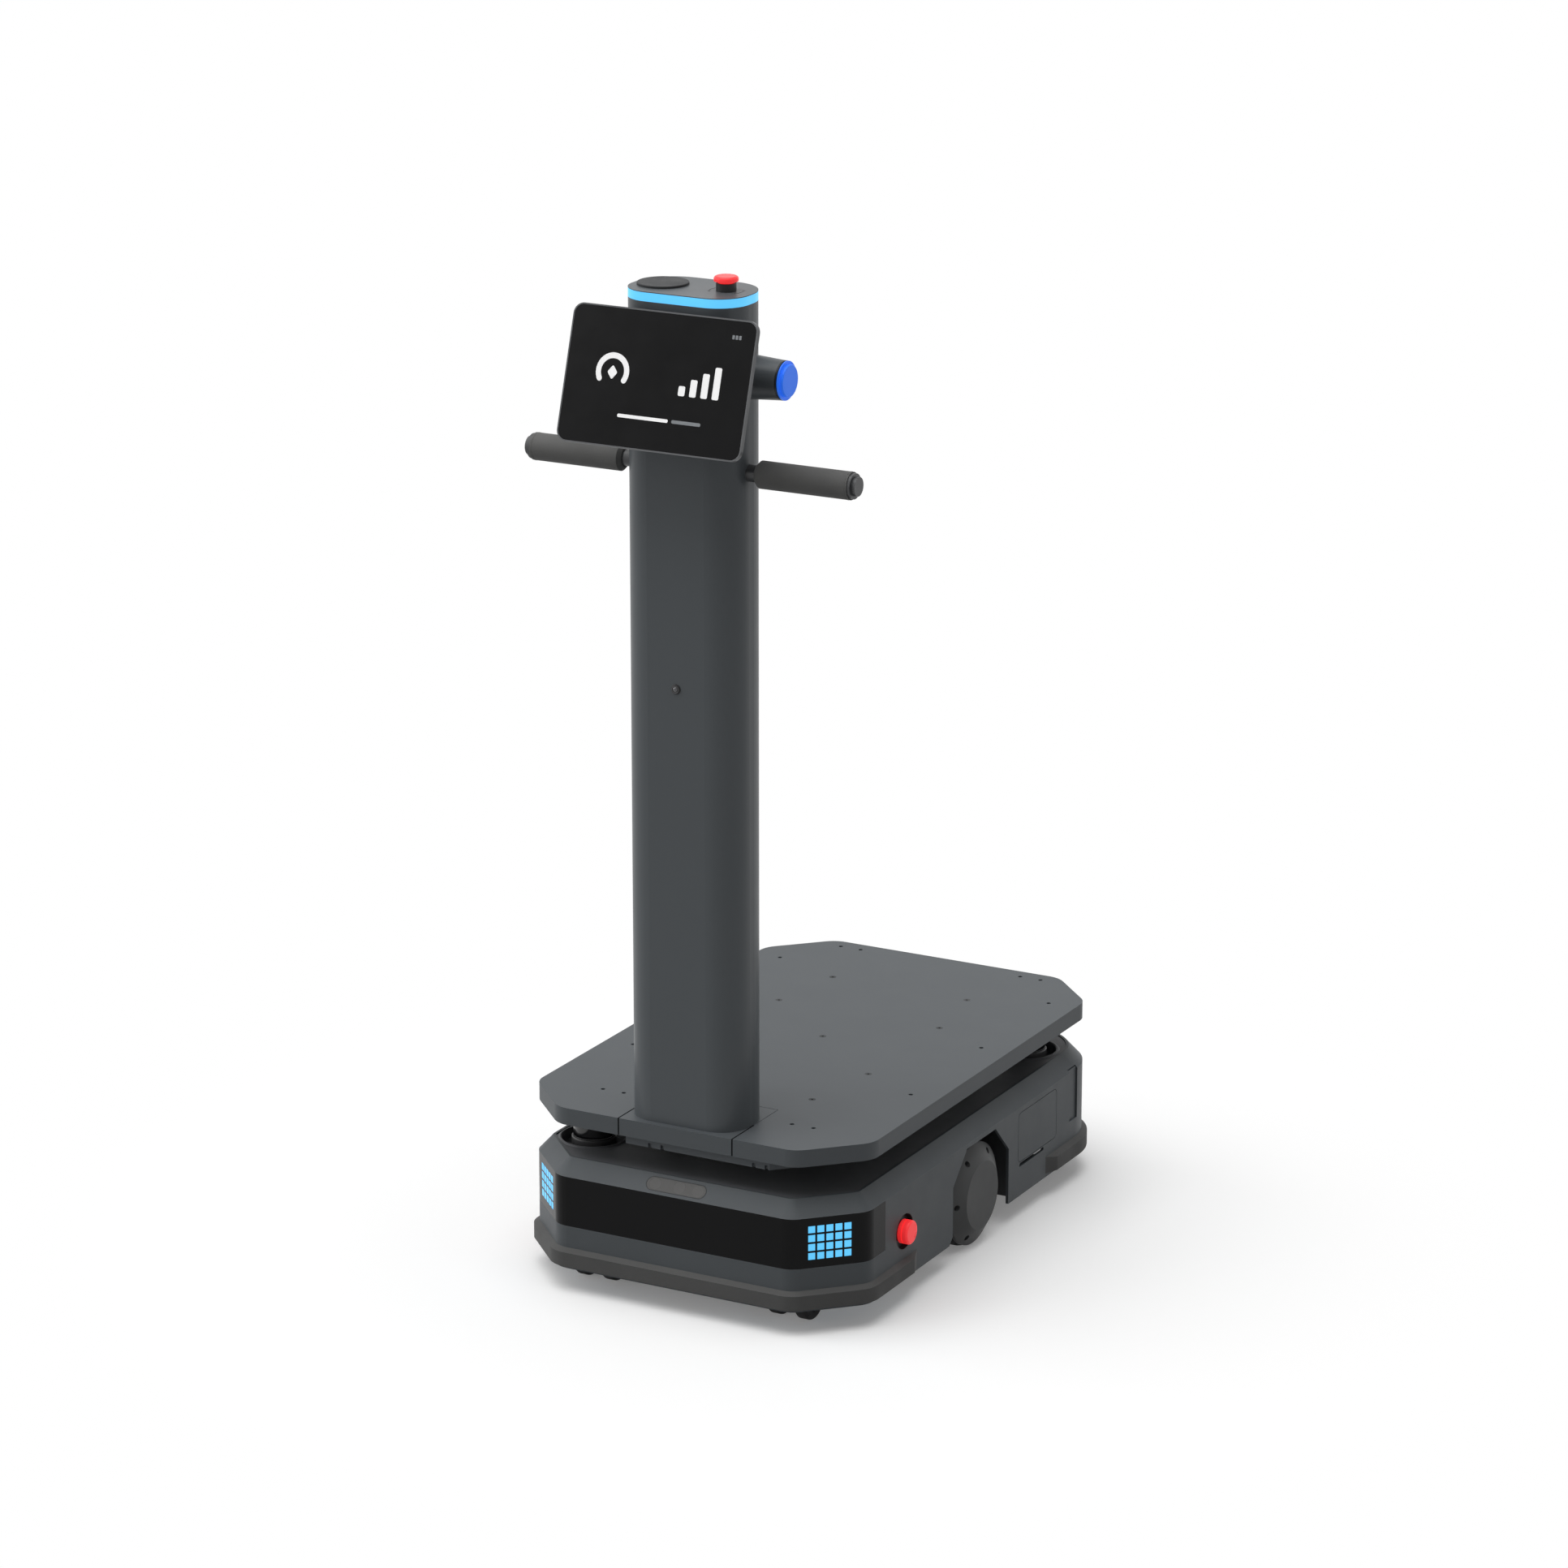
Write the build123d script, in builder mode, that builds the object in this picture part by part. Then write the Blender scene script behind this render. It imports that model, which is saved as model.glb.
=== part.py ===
from build123d import *
import math
import os

# Autonomous mobile robot: low drive base, load deck, control column.
# Millimetres. X is right, the front faces -Y, +Z is up. The origin is on the floor,
# under the centre of the overall box.

# Clearances
seam = 0.3
slip = 0.2
running = 0.05

# Overall plan: width across the bumpers, length from the screen to the rear bumper
overall_width = 500.0
overall_length = 835.0

# Bumpers
bumper_proud = 7.7
screen_overhang = 45.4
bumper_bottom = 35.5
bumper_edge_top = 54.7
bumper_inner_top = 59.2
bumper_cut_front = 77.8
bumper_corner_radius = 38.0
bumper_rear_radius = 105.5
front_bumper_end_inset = 238.5
rear_bumper_end_inset = 174.5
bumper_ramp = 21.0

# Body shell
shell_bottom = 30.5
shell_wall = 4.0
crease_height = 155.5
rim_height = 176.0
slope_inset = 19.0
rim_wall = 3.5
wall_step = 2.0

# Front fascia and light matrices
fascia_bottom = 88.5
fascia_thick = 2.5
fascia_end_inset = 171.0
led_square = 9.0
led_pitch = 11.9
led_columns = 5
led_rows = 4
led_board_margin = 1.5
led_board_thick = 2.0

# Slope window and depth camera
window_length = 86.0
window_height = 18.8
window_thick = 2.5
camera_length = 78.0
camera_height = 12.0
camera_depth = 18.0
camera_lens_radius = 4.5
camera_lens_wall = 1.2
camera_lens_x = (-30.0, -12.0, 28.0)

# Wheel arches and drive wheels
wheel_inset = 390.5
wheel_radius = 71.2
tyre_inner_inset = 64.0
tyre_outer_inset = 24.0
tyre_thick = 10.0
tyre_round = 5.0
hub_boss_inset = 78.0
hub_boss_radius = 24.0
hub_wall_recess = 3.0
cover_rim_radius = 69.0
cover_rim_inset = 19.0
cover_face_radius = 46.0
cover_face_inset = 5.6
cover_screws = 6
cover_screw_ring = 59.0
cover_screw_radius = 4.0
cover_screw_seat = 2.5
arch_half = 82.0
arch_side_top = 108.0
arch_top = 149.0
arch_chamfer = 40.0
arch_foot = 10.0

# Wheel housing inside the base
housing_half = 90.0
housing_top = 150.5
housing_inner_inset = 94.0
housing_sheet = 2.0

# Drive suspension
arm_inner_inset = 120.0
arm_thick = 12.0
arm_half_height = 12.0
pivot_reach = 110.0
pivot_radius = 6.0
ear_thick = 8.0
ear_gap = 3.0
axle_radius = 10.0
axle_length = 60.0
axle_hole_play = 8.0
spring_reach = 42.0
spring_radius = 9.0
spring_wire_radius = 1.6
spring_turns = 6
spring_top = 134.0
spring_pad = 4.0
spring_bracket = 4.0

# Chassis frame
floor_low = 37.5
floor_thick = 3.0
floor_front_inset = 204.5
floor_rear_inset = 147.5
floor_nose_inset = 172.0
rail_inset = 150.0
rail_width = 30.0
rail_low = 57.0
rail_top = 83.5
rail_front_inset = 87.5
rail_rear_inset = 32.5
cross_width = 30.0
cross_front_inset = 219.5
cross_controller_inset = 337.5
cross_rear_inset = 162.5

# Swivel casters with twin wheels
caster_inset = 108.5
caster_front_inset = 141.5
caster_rear_inset = 83.5
caster_trail = 24.0
caster_wheel_radius = 27.0
caster_wheel_width = 18.0
caster_wheel_round = 4.0
caster_hub_radius = 16.0
caster_hub_recess = 2.5
caster_web = 20.0
caster_web_radius = 13.0
caster_side_gap = 1.0
caster_axle_radius = 5.0
caster_head_radius = 24.0
caster_head_low = 58.0
caster_head_top = 66.0
caster_stem_radius = 8.0
caster_plate_thick = 6.0
caster_plate_half = 44.0

# Roof and lidars
roof_top = 174.8
roof_thick = 3.0
roof_gap = 0.3
pocket_radius = 42.0
pocket_floor = 163.0
pocket_wall = 3.0
lidar_front_side_inset = 77.0
lidar_front_inset = 154.0
lidar_rear_side_inset = 80.0
lidar_rear_inset = 112.5
lidar_base_radius = 29.0
lidar_base_top = 178.0
lidar_base_chamfer = 1.2
lidar_window_radius = 27.0
lidar_window_round = 4.0
lidar_top = 213.0

# Battery, door and controller
battery_left = -95.0
battery_right_inset = 22.0
battery_front_inset = 275.5
battery_rear_inset = 171.5
battery_height = 58.0
battery_corner = 6.0
battery_grip_length = 60.0
battery_grip_height = 18.0
battery_grip_depth = 12.0
shelf_thick = 2.0
door_front_inset = 279.5
door_rear_inset = 164.0
door_low = 78.5
door_top = 147.0
door_thick = 2.6
door_gap = 0.8
door_corner = 8.0
door_pin_drop = 9.5
door_pin_radius = 1.0
door_pin_length = 4.0
slot_front_inset = 275.5
slot_length = 73.0
slot_height = 5.0
slot_drop = 4.5
controller_half_width = 76.0
controller_front_inset = 242.5
controller_rear_inset = 352.5
controller_height = 52.0
controller_corner = 6.0
fin_count = 8
fin_pitch = 12.0
fin_gap = 5.0
fin_depth = 8.0
fin_margin = 15.0

# Rear corner recess
corner_recess_inset = 111.0
corner_recess_width = 24.0
corner_recess_low = 85.5
corner_recess_high = 159.5
corner_recess_depth = 7.0
corner_recess_wall = 3.0
corner_backing_high = 158.5

# Load deck
deck_half_width = 244.6
deck_front_inset = 59.8
deck_rear_inset = 11.5
deck_low = 223.2
deck_top = 246.1
deck_cut = 73.0
deck_radius = 35.0
deck_skin = 4.0
deck_wall = 3.0
insert_half_width = 81.7
insert_gap = 0.8
insert_rear_inset = 181.5
tapped_radius = 3.0
boss_radius = 6.5
boss_depth = 12.0
end_hole_inner_x = 122.5
end_hole_outer_x = 153.3
end_hole_front_inset = 144.3
end_hole_rear_inset = 32.0
side_hole_inset = 45.0
side_hole_front_inset = 313.0
side_hole_rear_inset = 114.0
deck_screw_outer_offset = 9.0
deck_screw_front_inset = 237.0
deck_screw_rear_inset = 154.0
deck_screw_inner_offset = 10.0
deck_screw_inner_y = 102.5
screw_radius = 2.5
screw_head_radius = 5.0
screw_socket_radius = 1.6
screw_socket_depth = 1.5

# Deck frame and posts
frame_low = 212.5
frame_rail_offset = 11.0
frame_rail_width = 44.0
frame_rail_wall = 3.0
frame_rail_rear_inset = 49.5
frame_cross_width = 40.0
post_radius = 12.0
post_front_inset = 236.0
post_rear_inset = 149.0
flange_left = -75.0
flange_right = 180.0
flange_front_inset = 66.0
flange_cut = 48.0
flange_low = 211.5
notch_width = 5.0
notch_depth = 3.0
notch_x = (-40.0, -22.0, 110.0, 128.0)

# Column
column_half_width = 81.0
column_front_inset = 69.0
column_rear_inset = 173.0
column_front_radius = 41.0
column_rear_radius = 51.5
column_wall = 3.5
column_top = 1302.5
spigot_height = 30.0
band_height = 11.0
band_wall = 6.0
cap_thick = 1.0
cap_plug = 8.0
disc_x = -44.0
disc_radius = 32.25
disc_thick = 3.0
disc_round = 1.2
lens_height = 819.5
lens_radius = 6.5
lens_proud = 1.5
lens_depth = 10.0
lens_round = 1.0

# Stop buttons: one on the column's cap, one in each side of the base
stop_travel = 2.0
stop_gap = 2.5
stop_stem_length = 12.0
top_stop_x = 44.0
top_collar_radius = 12.5
top_collar_height = 9.9
top_collar_depth = 12.0
top_head_radius = 15.3
top_head_height = 6.1
top_head_round = 3.6
top_stem_radius = 10.0
side_stop_inset = 225.0
side_stop_z = 95.5
side_cup_radius = 24.6
side_cup_wall = 1.2
side_cup_depth = 7.7
side_collar_radius = 14.0
side_collar_height = 2.4
side_head_radius = 15.8
side_head_height = 13.5
side_head_round = 3.0
side_groove_start = 5.2
side_groove_width = 0.8
side_groove_depth = 1.4
side_stem_radius = 8.0
side_barrel_radius = 13.0
side_barrel_length = 26.0

# Screen
screen_width = 255.0
screen_height = 170.3
screen_thick = 9.0
screen_corner = 14.0
screen_lean = 17.5
screen_low = 1134.9
screen_chamfer = 3.0
glass_margin = 1.8
glass_thick = 1.5
bracket_width = 96.0
bracket_low = 1160.0
bracket_high = 1272.0

# Handles
handle_inset = 112.0
handle_z = 1093.5
handle_bar_radius = 10.5
grip_radius = 17.4
grip_start = 93.0
grip_end = 222.0
grip_chamfer = 4.5
grip_cap_radius = 16.0
grip_cap_thick = 4.0
grip_knob_radius = 12.0
grip_knob_end = 231.0

# Call button on the column's right side
pod_z = 1214.0
pod_start = 60.0
pod_end = 127.5
pod_root_radius = 29.0
pod_end_radius = 24.5
bezel_thick = 2.4
button_gap = 1.0
button_travel = 0.8
button_flange_radius = 24.3
button_flange_thick = 1.6
button_face_radius = 20.0
button_face_thick = 4.7
button_stem_radius = 9.0
button_stem_length = 16.0
button_round = 1.0

# Places worked out from the sizes above
half_width = overall_width / 2
front_end = -overall_length / 2
rear_end = overall_length / 2
front_bumper_end = front_end + front_bumper_end_inset
fascia_end = front_end + fascia_end_inset
floor_front = front_end + floor_front_inset
rail_front = front_end + rail_front_inset
caster_front_y = front_end + caster_front_inset
lidar_front_y = front_end + lidar_front_inset
controller_front = front_end + controller_front_inset
controller_rear = front_end + controller_rear_inset
deck_front = front_end + deck_front_inset
insert_rear = front_end + insert_rear_inset
end_hole_front_y = front_end + end_hole_front_inset
flange_front = front_end + flange_front_inset
column_front = front_end + column_front_inset
column_rear = front_end + column_rear_inset
side_stop_y = front_end + side_stop_inset
handle_y = front_end + handle_inset
rear_bumper_end = rear_end - rear_bumper_end_inset
wheel_y = rear_end - wheel_inset
floor_rear = rear_end - floor_rear_inset
rail_rear = rear_end - rail_rear_inset
caster_rear_y = rear_end - caster_rear_inset
lidar_rear_y = rear_end - lidar_rear_inset
battery_front = rear_end - battery_front_inset
battery_rear = rear_end - battery_rear_inset
door_front = rear_end - door_front_inset
door_rear = rear_end - door_rear_inset
slot_front = rear_end - slot_front_inset
corner_recess_y = rear_end - corner_recess_inset
deck_rear = rear_end - deck_rear_inset
end_hole_rear_y = rear_end - end_hole_rear_inset
frame_rail_rear = rear_end - frame_rail_rear_inset
tyre_inner_x = half_width - tyre_inner_inset
tyre_outer_x = half_width - tyre_outer_inset
hub_boss_x = half_width - hub_boss_inset
cover_rim_x = half_width - cover_rim_inset
cover_face_x = half_width - cover_face_inset
housing_inner_x = half_width - housing_inner_inset
arm_inner_x = half_width - arm_inner_inset
rail_x = half_width - rail_inset
caster_x = half_width - caster_inset
battery_right = half_width - battery_right_inset
lidar_rear_x = half_width - lidar_rear_side_inset
floor_nose_half = half_width - floor_nose_inset
side_hole_x = half_width - side_hole_inset
lidar_front_x = lidar_front_side_inset - half_width
frame_rail_x = rail_x + frame_rail_offset
side_hole_front = front_end + side_hole_front_inset
side_hole_rear = rear_end - side_hole_rear_inset
side_hole_y = (side_hole_front + side_hole_rear) / 2
side_hole_pitch = (side_hole_rear - side_hole_front) / 2
deck_screw_front = front_end + deck_screw_front_inset
deck_screw_rear = rear_end - deck_screw_rear_inset
deck_screw_y = (deck_screw_front + deck_screw_rear) / 2
deck_screw_outer_y = (deck_screw_rear - deck_screw_front) / 2
deck_screw_outer_x = frame_rail_x - deck_screw_outer_offset
deck_screw_inner_x = frame_rail_x + deck_screw_inner_offset
cross_members = (
    front_end + cross_front_inset,
    front_end + cross_controller_inset,
    wheel_y,
    rear_end - cross_rear_inset,
)
post_y = (front_end + post_front_inset, deck_screw_y, rear_end - post_rear_inset)
bumper_rear = rear_end
bumper_front = front_end + screen_overhang
corner_shrink = 2 - math.sqrt(2)
slope_height = rim_height - crease_height
body_half = half_width - bumper_proud
body_front = bumper_front + bumper_proud
body_cut_front = bumper_cut_front - corner_shrink * bumper_proud
shell_inset = bumper_proud + shell_wall
rim_inset = bumper_proud + slope_inset + rim_wall
inner_half = half_width - shell_inset - seam
column_y = (column_front + column_rear) / 2
band_top = column_top + band_height
cap_top = band_top + cap_thick
arm_outer_x = arm_inner_x + arm_thick
arm_x = arm_inner_x + arm_thick / 2
pivot_y = wheel_y + pivot_reach
spring_y = wheel_y - spring_reach
spring_low = wheel_radius + arm_half_height
hub_radius = wheel_radius - tyre_thick
shelf_top = rail_top + shelf_thick
plate_top = rail_top + caster_plate_thick
battery_x = (battery_left + battery_right) / 2
battery_y = (battery_front + battery_rear) / 2
door_pin_x = body_half - door_thick / 2
door_pin_z = door_top - door_pin_drop
insert_length = insert_rear - deck_front
frame_top = deck_top - deck_skin
frame_front = insert_rear + insert_gap
frame_height = frame_top - frame_low
end_hole_y = (end_hole_front_y + end_hole_rear_y) / 2
end_hole_span = end_hole_rear_y - end_hole_front_y
caster_places = (
    ("front_left", -caster_x, caster_front_y),
    ("front_right", caster_x, caster_front_y),
    ("rear_left", -caster_x, caster_rear_y),
    ("rear_right", caster_x, caster_rear_y),
)
lidar_places = (
    ("front", lidar_front_x, lidar_front_y),
    ("rear", lidar_rear_x, lidar_rear_y),
)
post_places = [(side * rail_x, y) for side in (-1, 1) for y in post_y]

os.makedirs("parts", exist_ok=True)


def save(builder, name):
    builder.part.label = name
    export_step(builder.part, f"parts/{name}.step")


def base_outline(inset):
    """Plan of the base, set inwards from the bumpers' outer face."""
    half = half_width - inset
    near = bumper_front + inset
    far = bumper_rear - inset
    cut_front = bumper_cut_front - corner_shrink * inset
    with BuildSketch(Plane.XY, mode=Mode.PRIVATE) as plan:
        with BuildLine():
            Polyline(
                (half - cut_front, near),
                (half, near + cut_front),
                (half, far),
                (-half, far),
                (-half, near + cut_front),
                (cut_front - half, near),
                close=True,
            )
        make_face()
        rear_corners = plan.vertices().group_by(Axis.Y)[-1]
        fillet(rear_corners, radius=bumper_rear_radius - inset)
        front_corners = plan.vertices().filter_by(lambda corner: corner.Y < near + cut_front + seam)
        fillet(front_corners, radius=bumper_corner_radius - inset)
    return plan.sketch


def base_prism(inset, low, high):
    return extrude(Pos(0, 0, low) * base_outline(inset), amount=high - low)


def base_slope(inset_low, low, inset_high, high):
    lower = Pos(0, 0, low) * base_outline(inset_low)
    upper = Pos(0, 0, high) * base_outline(inset_high)
    return loft([lower, upper], ruled=True)


def deck_outline(inset):
    with BuildSketch(Plane.XY, mode=Mode.PRIVATE) as plan:
        with Locations((0, (deck_front + deck_rear) / 2)):
            Rectangle(2 * (deck_half_width - inset), deck_rear - deck_front - 2 * inset)
        chamfer(plan.vertices(), length=deck_cut - corner_shrink * inset)
        fillet(plan.vertices(), radius=deck_radius - inset)
    return plan.sketch


def column_outline(inset):
    """Column section: flatter at the front corners, rounder at the back."""
    with BuildSketch(Plane.XY, mode=Mode.PRIVATE) as plan:
        with Locations((0, column_y)):
            Rectangle(2 * (column_half_width - inset), column_rear - column_front - 2 * inset)
        fillet(plan.vertices().group_by(Axis.Y)[0], radius=column_front_radius - inset)
        fillet(plan.vertices().group_by(Axis.Y)[-1], radius=column_rear_radius - inset)
    return plan.sketch


def column_prism(low, high):
    return extrude(Pos(0, 0, low) * column_outline(0), amount=high - low)


def arch_profile():
    """Side view of a wheel arch: Y across, Z up."""
    front_side = wheel_y - arch_half
    rear_side = wheel_y + arch_half
    with BuildSketch(Plane.XY, mode=Mode.PRIVATE) as side_view:
        with BuildLine():
            Polyline(
                (front_side - arch_foot, shell_bottom),
                (front_side, shell_bottom + arch_foot),
                (front_side, arch_side_top),
                (front_side + arch_chamfer, arch_top),
                (rear_side - arch_chamfer, arch_top),
                (rear_side, arch_side_top),
                (rear_side, shell_bottom),
                close=True,
            )
        make_face()
    return side_view.sketch


def corner_plane(side):
    """Plane on a front corner face at the light matrix, its normal outwards."""
    return Plane(
        origin=(
            side * (body_half - body_cut_front / 2),
            body_front + body_cut_front / 2,
            (fascia_bottom + crease_height) / 2,
        ),
        x_dir=(side, 1, 0),
        z_dir=(side, -1, 0),
    )


def led_grid(grow):
    with BuildSketch(Plane.XY, mode=Mode.PRIVATE) as grid:
        with GridLocations(led_pitch, led_pitch, led_columns, led_rows):
            Rectangle(led_square + grow, led_square + grow)
    return grid.sketch


def led_board(grow):
    with BuildSketch(Plane.XY, mode=Mode.PRIVATE) as board:
        Rectangle(
            led_columns * led_pitch + 2 * led_board_margin + grow,
            led_rows * led_pitch + 2 * led_board_margin + grow,
        )
    return board.sketch


slope_plane = Plane(
    origin=(0, body_front + slope_inset / 2, crease_height + slope_height / 2),
    x_dir=(1, 0, 0),
    z_dir=(0, -slope_height, slope_inset),
)

# Fascia band: the panel, and its seat in the shell
fascia_band = base_prism(bumper_proud, fascia_bottom, crease_height)
fascia_band -= base_prism(bumper_proud + fascia_thick, fascia_bottom, crease_height)
with BuildPart(mode=Mode.PRIVATE) as fascia_zone:
    with BuildSketch(Plane.XY.offset(fascia_bottom)):
        with Locations((0, (bumper_front + fascia_end) / 2)):
            Rectangle(overall_width, fascia_end - bumper_front)
    extrude(amount=crease_height - fascia_bottom)
fascia_panel = fascia_band & fascia_zone.part

# Body shell
with BuildPart() as body_shell:
    inner_crease = crease_height - wall_step
    backing_low = corner_recess_low - corner_recess_wall
    add(base_prism(bumper_proud, shell_bottom, crease_height))
    add(base_slope(bumper_proud, crease_height, bumper_proud + slope_inset, rim_height))
    add(base_prism(shell_inset, shell_bottom, inner_crease), mode=Mode.SUBTRACT)
    add(base_slope(shell_inset, inner_crease, rim_inset, rim_height), mode=Mode.SUBTRACT)
    for side in (-1, 1):
        with BuildSketch(Plane.YZ.offset(side * housing_inner_x)):
            add(arch_profile())
        extrude(amount=side * (half_width - housing_inner_x), mode=Mode.SUBTRACT)
        with BuildSketch(Plane.YZ.offset(side * half_width)):
            with Locations((side_stop_y, side_stop_z)):
                Circle(side_cup_radius + running)
        extrude(amount=-side * (shell_inset + seam), mode=Mode.SUBTRACT)
        with BuildSketch(corner_plane(side)):
            add(led_board(2 * slip))
        extrude(amount=-2 * shell_wall, mode=Mode.SUBTRACT)
        with BuildSketch(Plane.YZ.offset(side * (body_half - shell_wall))):
            with Locations((corner_recess_y, (backing_low + corner_backing_high) / 2)):
                Rectangle(corner_recess_width + 2 * corner_recess_wall, corner_backing_high - backing_low)
        extrude(amount=-side * (corner_recess_depth + corner_recess_wall - shell_wall))
        with BuildSketch(Plane.YZ.offset(side * body_half)):
            with Locations((corner_recess_y, (corner_recess_low + corner_recess_high) / 2)):
                Rectangle(corner_recess_width, corner_recess_high - corner_recess_low)
        extrude(amount=-side * corner_recess_depth, mode=Mode.SUBTRACT)
    add(fascia_panel, mode=Mode.SUBTRACT)
    with BuildSketch(slope_plane):
        SlotOverall(window_length + 2 * slip, window_height + 2 * slip)
    extrude(amount=-2 * shell_wall, mode=Mode.SUBTRACT)
    with BuildSketch(Plane.YZ.offset(body_half)):
        with Locations(((door_front + door_rear) / 2, (door_low + door_top) / 2)):
            RectangleRounded(
                door_rear - door_front + 2 * door_gap,
                door_top - door_low + 2 * door_gap,
                door_corner,
            )
        with Locations((slot_front + slot_length / 2, door_low - slot_drop)):
            SlotOverall(slot_length, slot_height)
    extrude(amount=-shell_wall - seam, mode=Mode.SUBTRACT)
    with BuildSketch(Plane.XZ.offset(door_pin_length + running - door_front)):
        with Locations((door_pin_x, door_pin_z)):
            Circle(door_pin_radius + running)
    pin_holes = door_rear - door_front + 2 * (door_pin_length + running)
    extrude(amount=-pin_holes, mode=Mode.SUBTRACT)
save(body_shell, "body_shell")

# Front fascia
with BuildPart() as front_fascia:
    add(fascia_panel)
    for side in (-1, 1):
        with BuildSketch(corner_plane(side)):
            add(led_grid(2 * slip))
        extrude(amount=-2 * fascia_thick, mode=Mode.SUBTRACT)
save(front_fascia, "front_fascia")

# Light matrices: a board behind each front corner, its square guides through the fascia
with BuildPart() as led_matrices:
    for side in (-1, 1):
        with BuildSketch(corner_plane(side)):
            add(led_grid(0))
        extrude(amount=-fascia_thick)
        with BuildSketch(corner_plane(side).offset(-fascia_thick)):
            add(led_board(0))
        extrude(amount=-led_board_thick)
save(led_matrices, "led_matrices")

# Window in the front slope, and the depth camera behind it
with BuildPart() as camera_window:
    with BuildSketch(slope_plane):
        SlotOverall(window_length, window_height)
    extrude(amount=-window_thick)
save(camera_window, "camera_window")

with BuildPart() as depth_camera:
    with BuildSketch(slope_plane.offset(-window_thick)):
        SlotOverall(camera_length, camera_height)
    extrude(amount=-camera_depth)
    with BuildSketch(slope_plane.offset(-window_thick)):
        with Locations(*[(x, 0) for x in camera_lens_x]):
            Circle(camera_lens_radius)
            Circle(camera_lens_radius - camera_lens_wall, mode=Mode.SUBTRACT)
    extrude(amount=-camera_lens_wall, mode=Mode.SUBTRACT)
save(depth_camera, "depth_camera")

# Bumpers: a rubber band round each end, its side ends running out in a ramp
bumper_ring = base_prism(0, bumper_bottom, bumper_edge_top)
bumper_ring += base_slope(0, bumper_edge_top, bumper_proud, bumper_inner_top)
bumper_ring -= base_prism(bumper_proud, bumper_bottom, bumper_inner_top)

for name, end, towards in (
    ("front_bumper", front_bumper_end, 1),
    ("rear_bumper", rear_bumper_end, -1),
):
    far = end - towards * overall_length
    tip = end + towards * bumper_ramp
    with BuildPart(mode=Mode.PRIVATE) as zone:
        with BuildSketch(Plane.XY.offset(bumper_bottom)):
            with BuildLine():
                Polyline(
                    (-half_width, far),
                    (half_width, far),
                    (half_width, end),
                    (body_half, tip),
                    (-body_half, tip),
                    (-half_width, end),
                    close=True,
                )
            make_face()
        extrude(amount=bumper_inner_top - bumper_bottom)
    kept = bumper_ring & zone.part
    with BuildPart() as bumper:
        add(kept)
    save(bumper, name)

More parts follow.
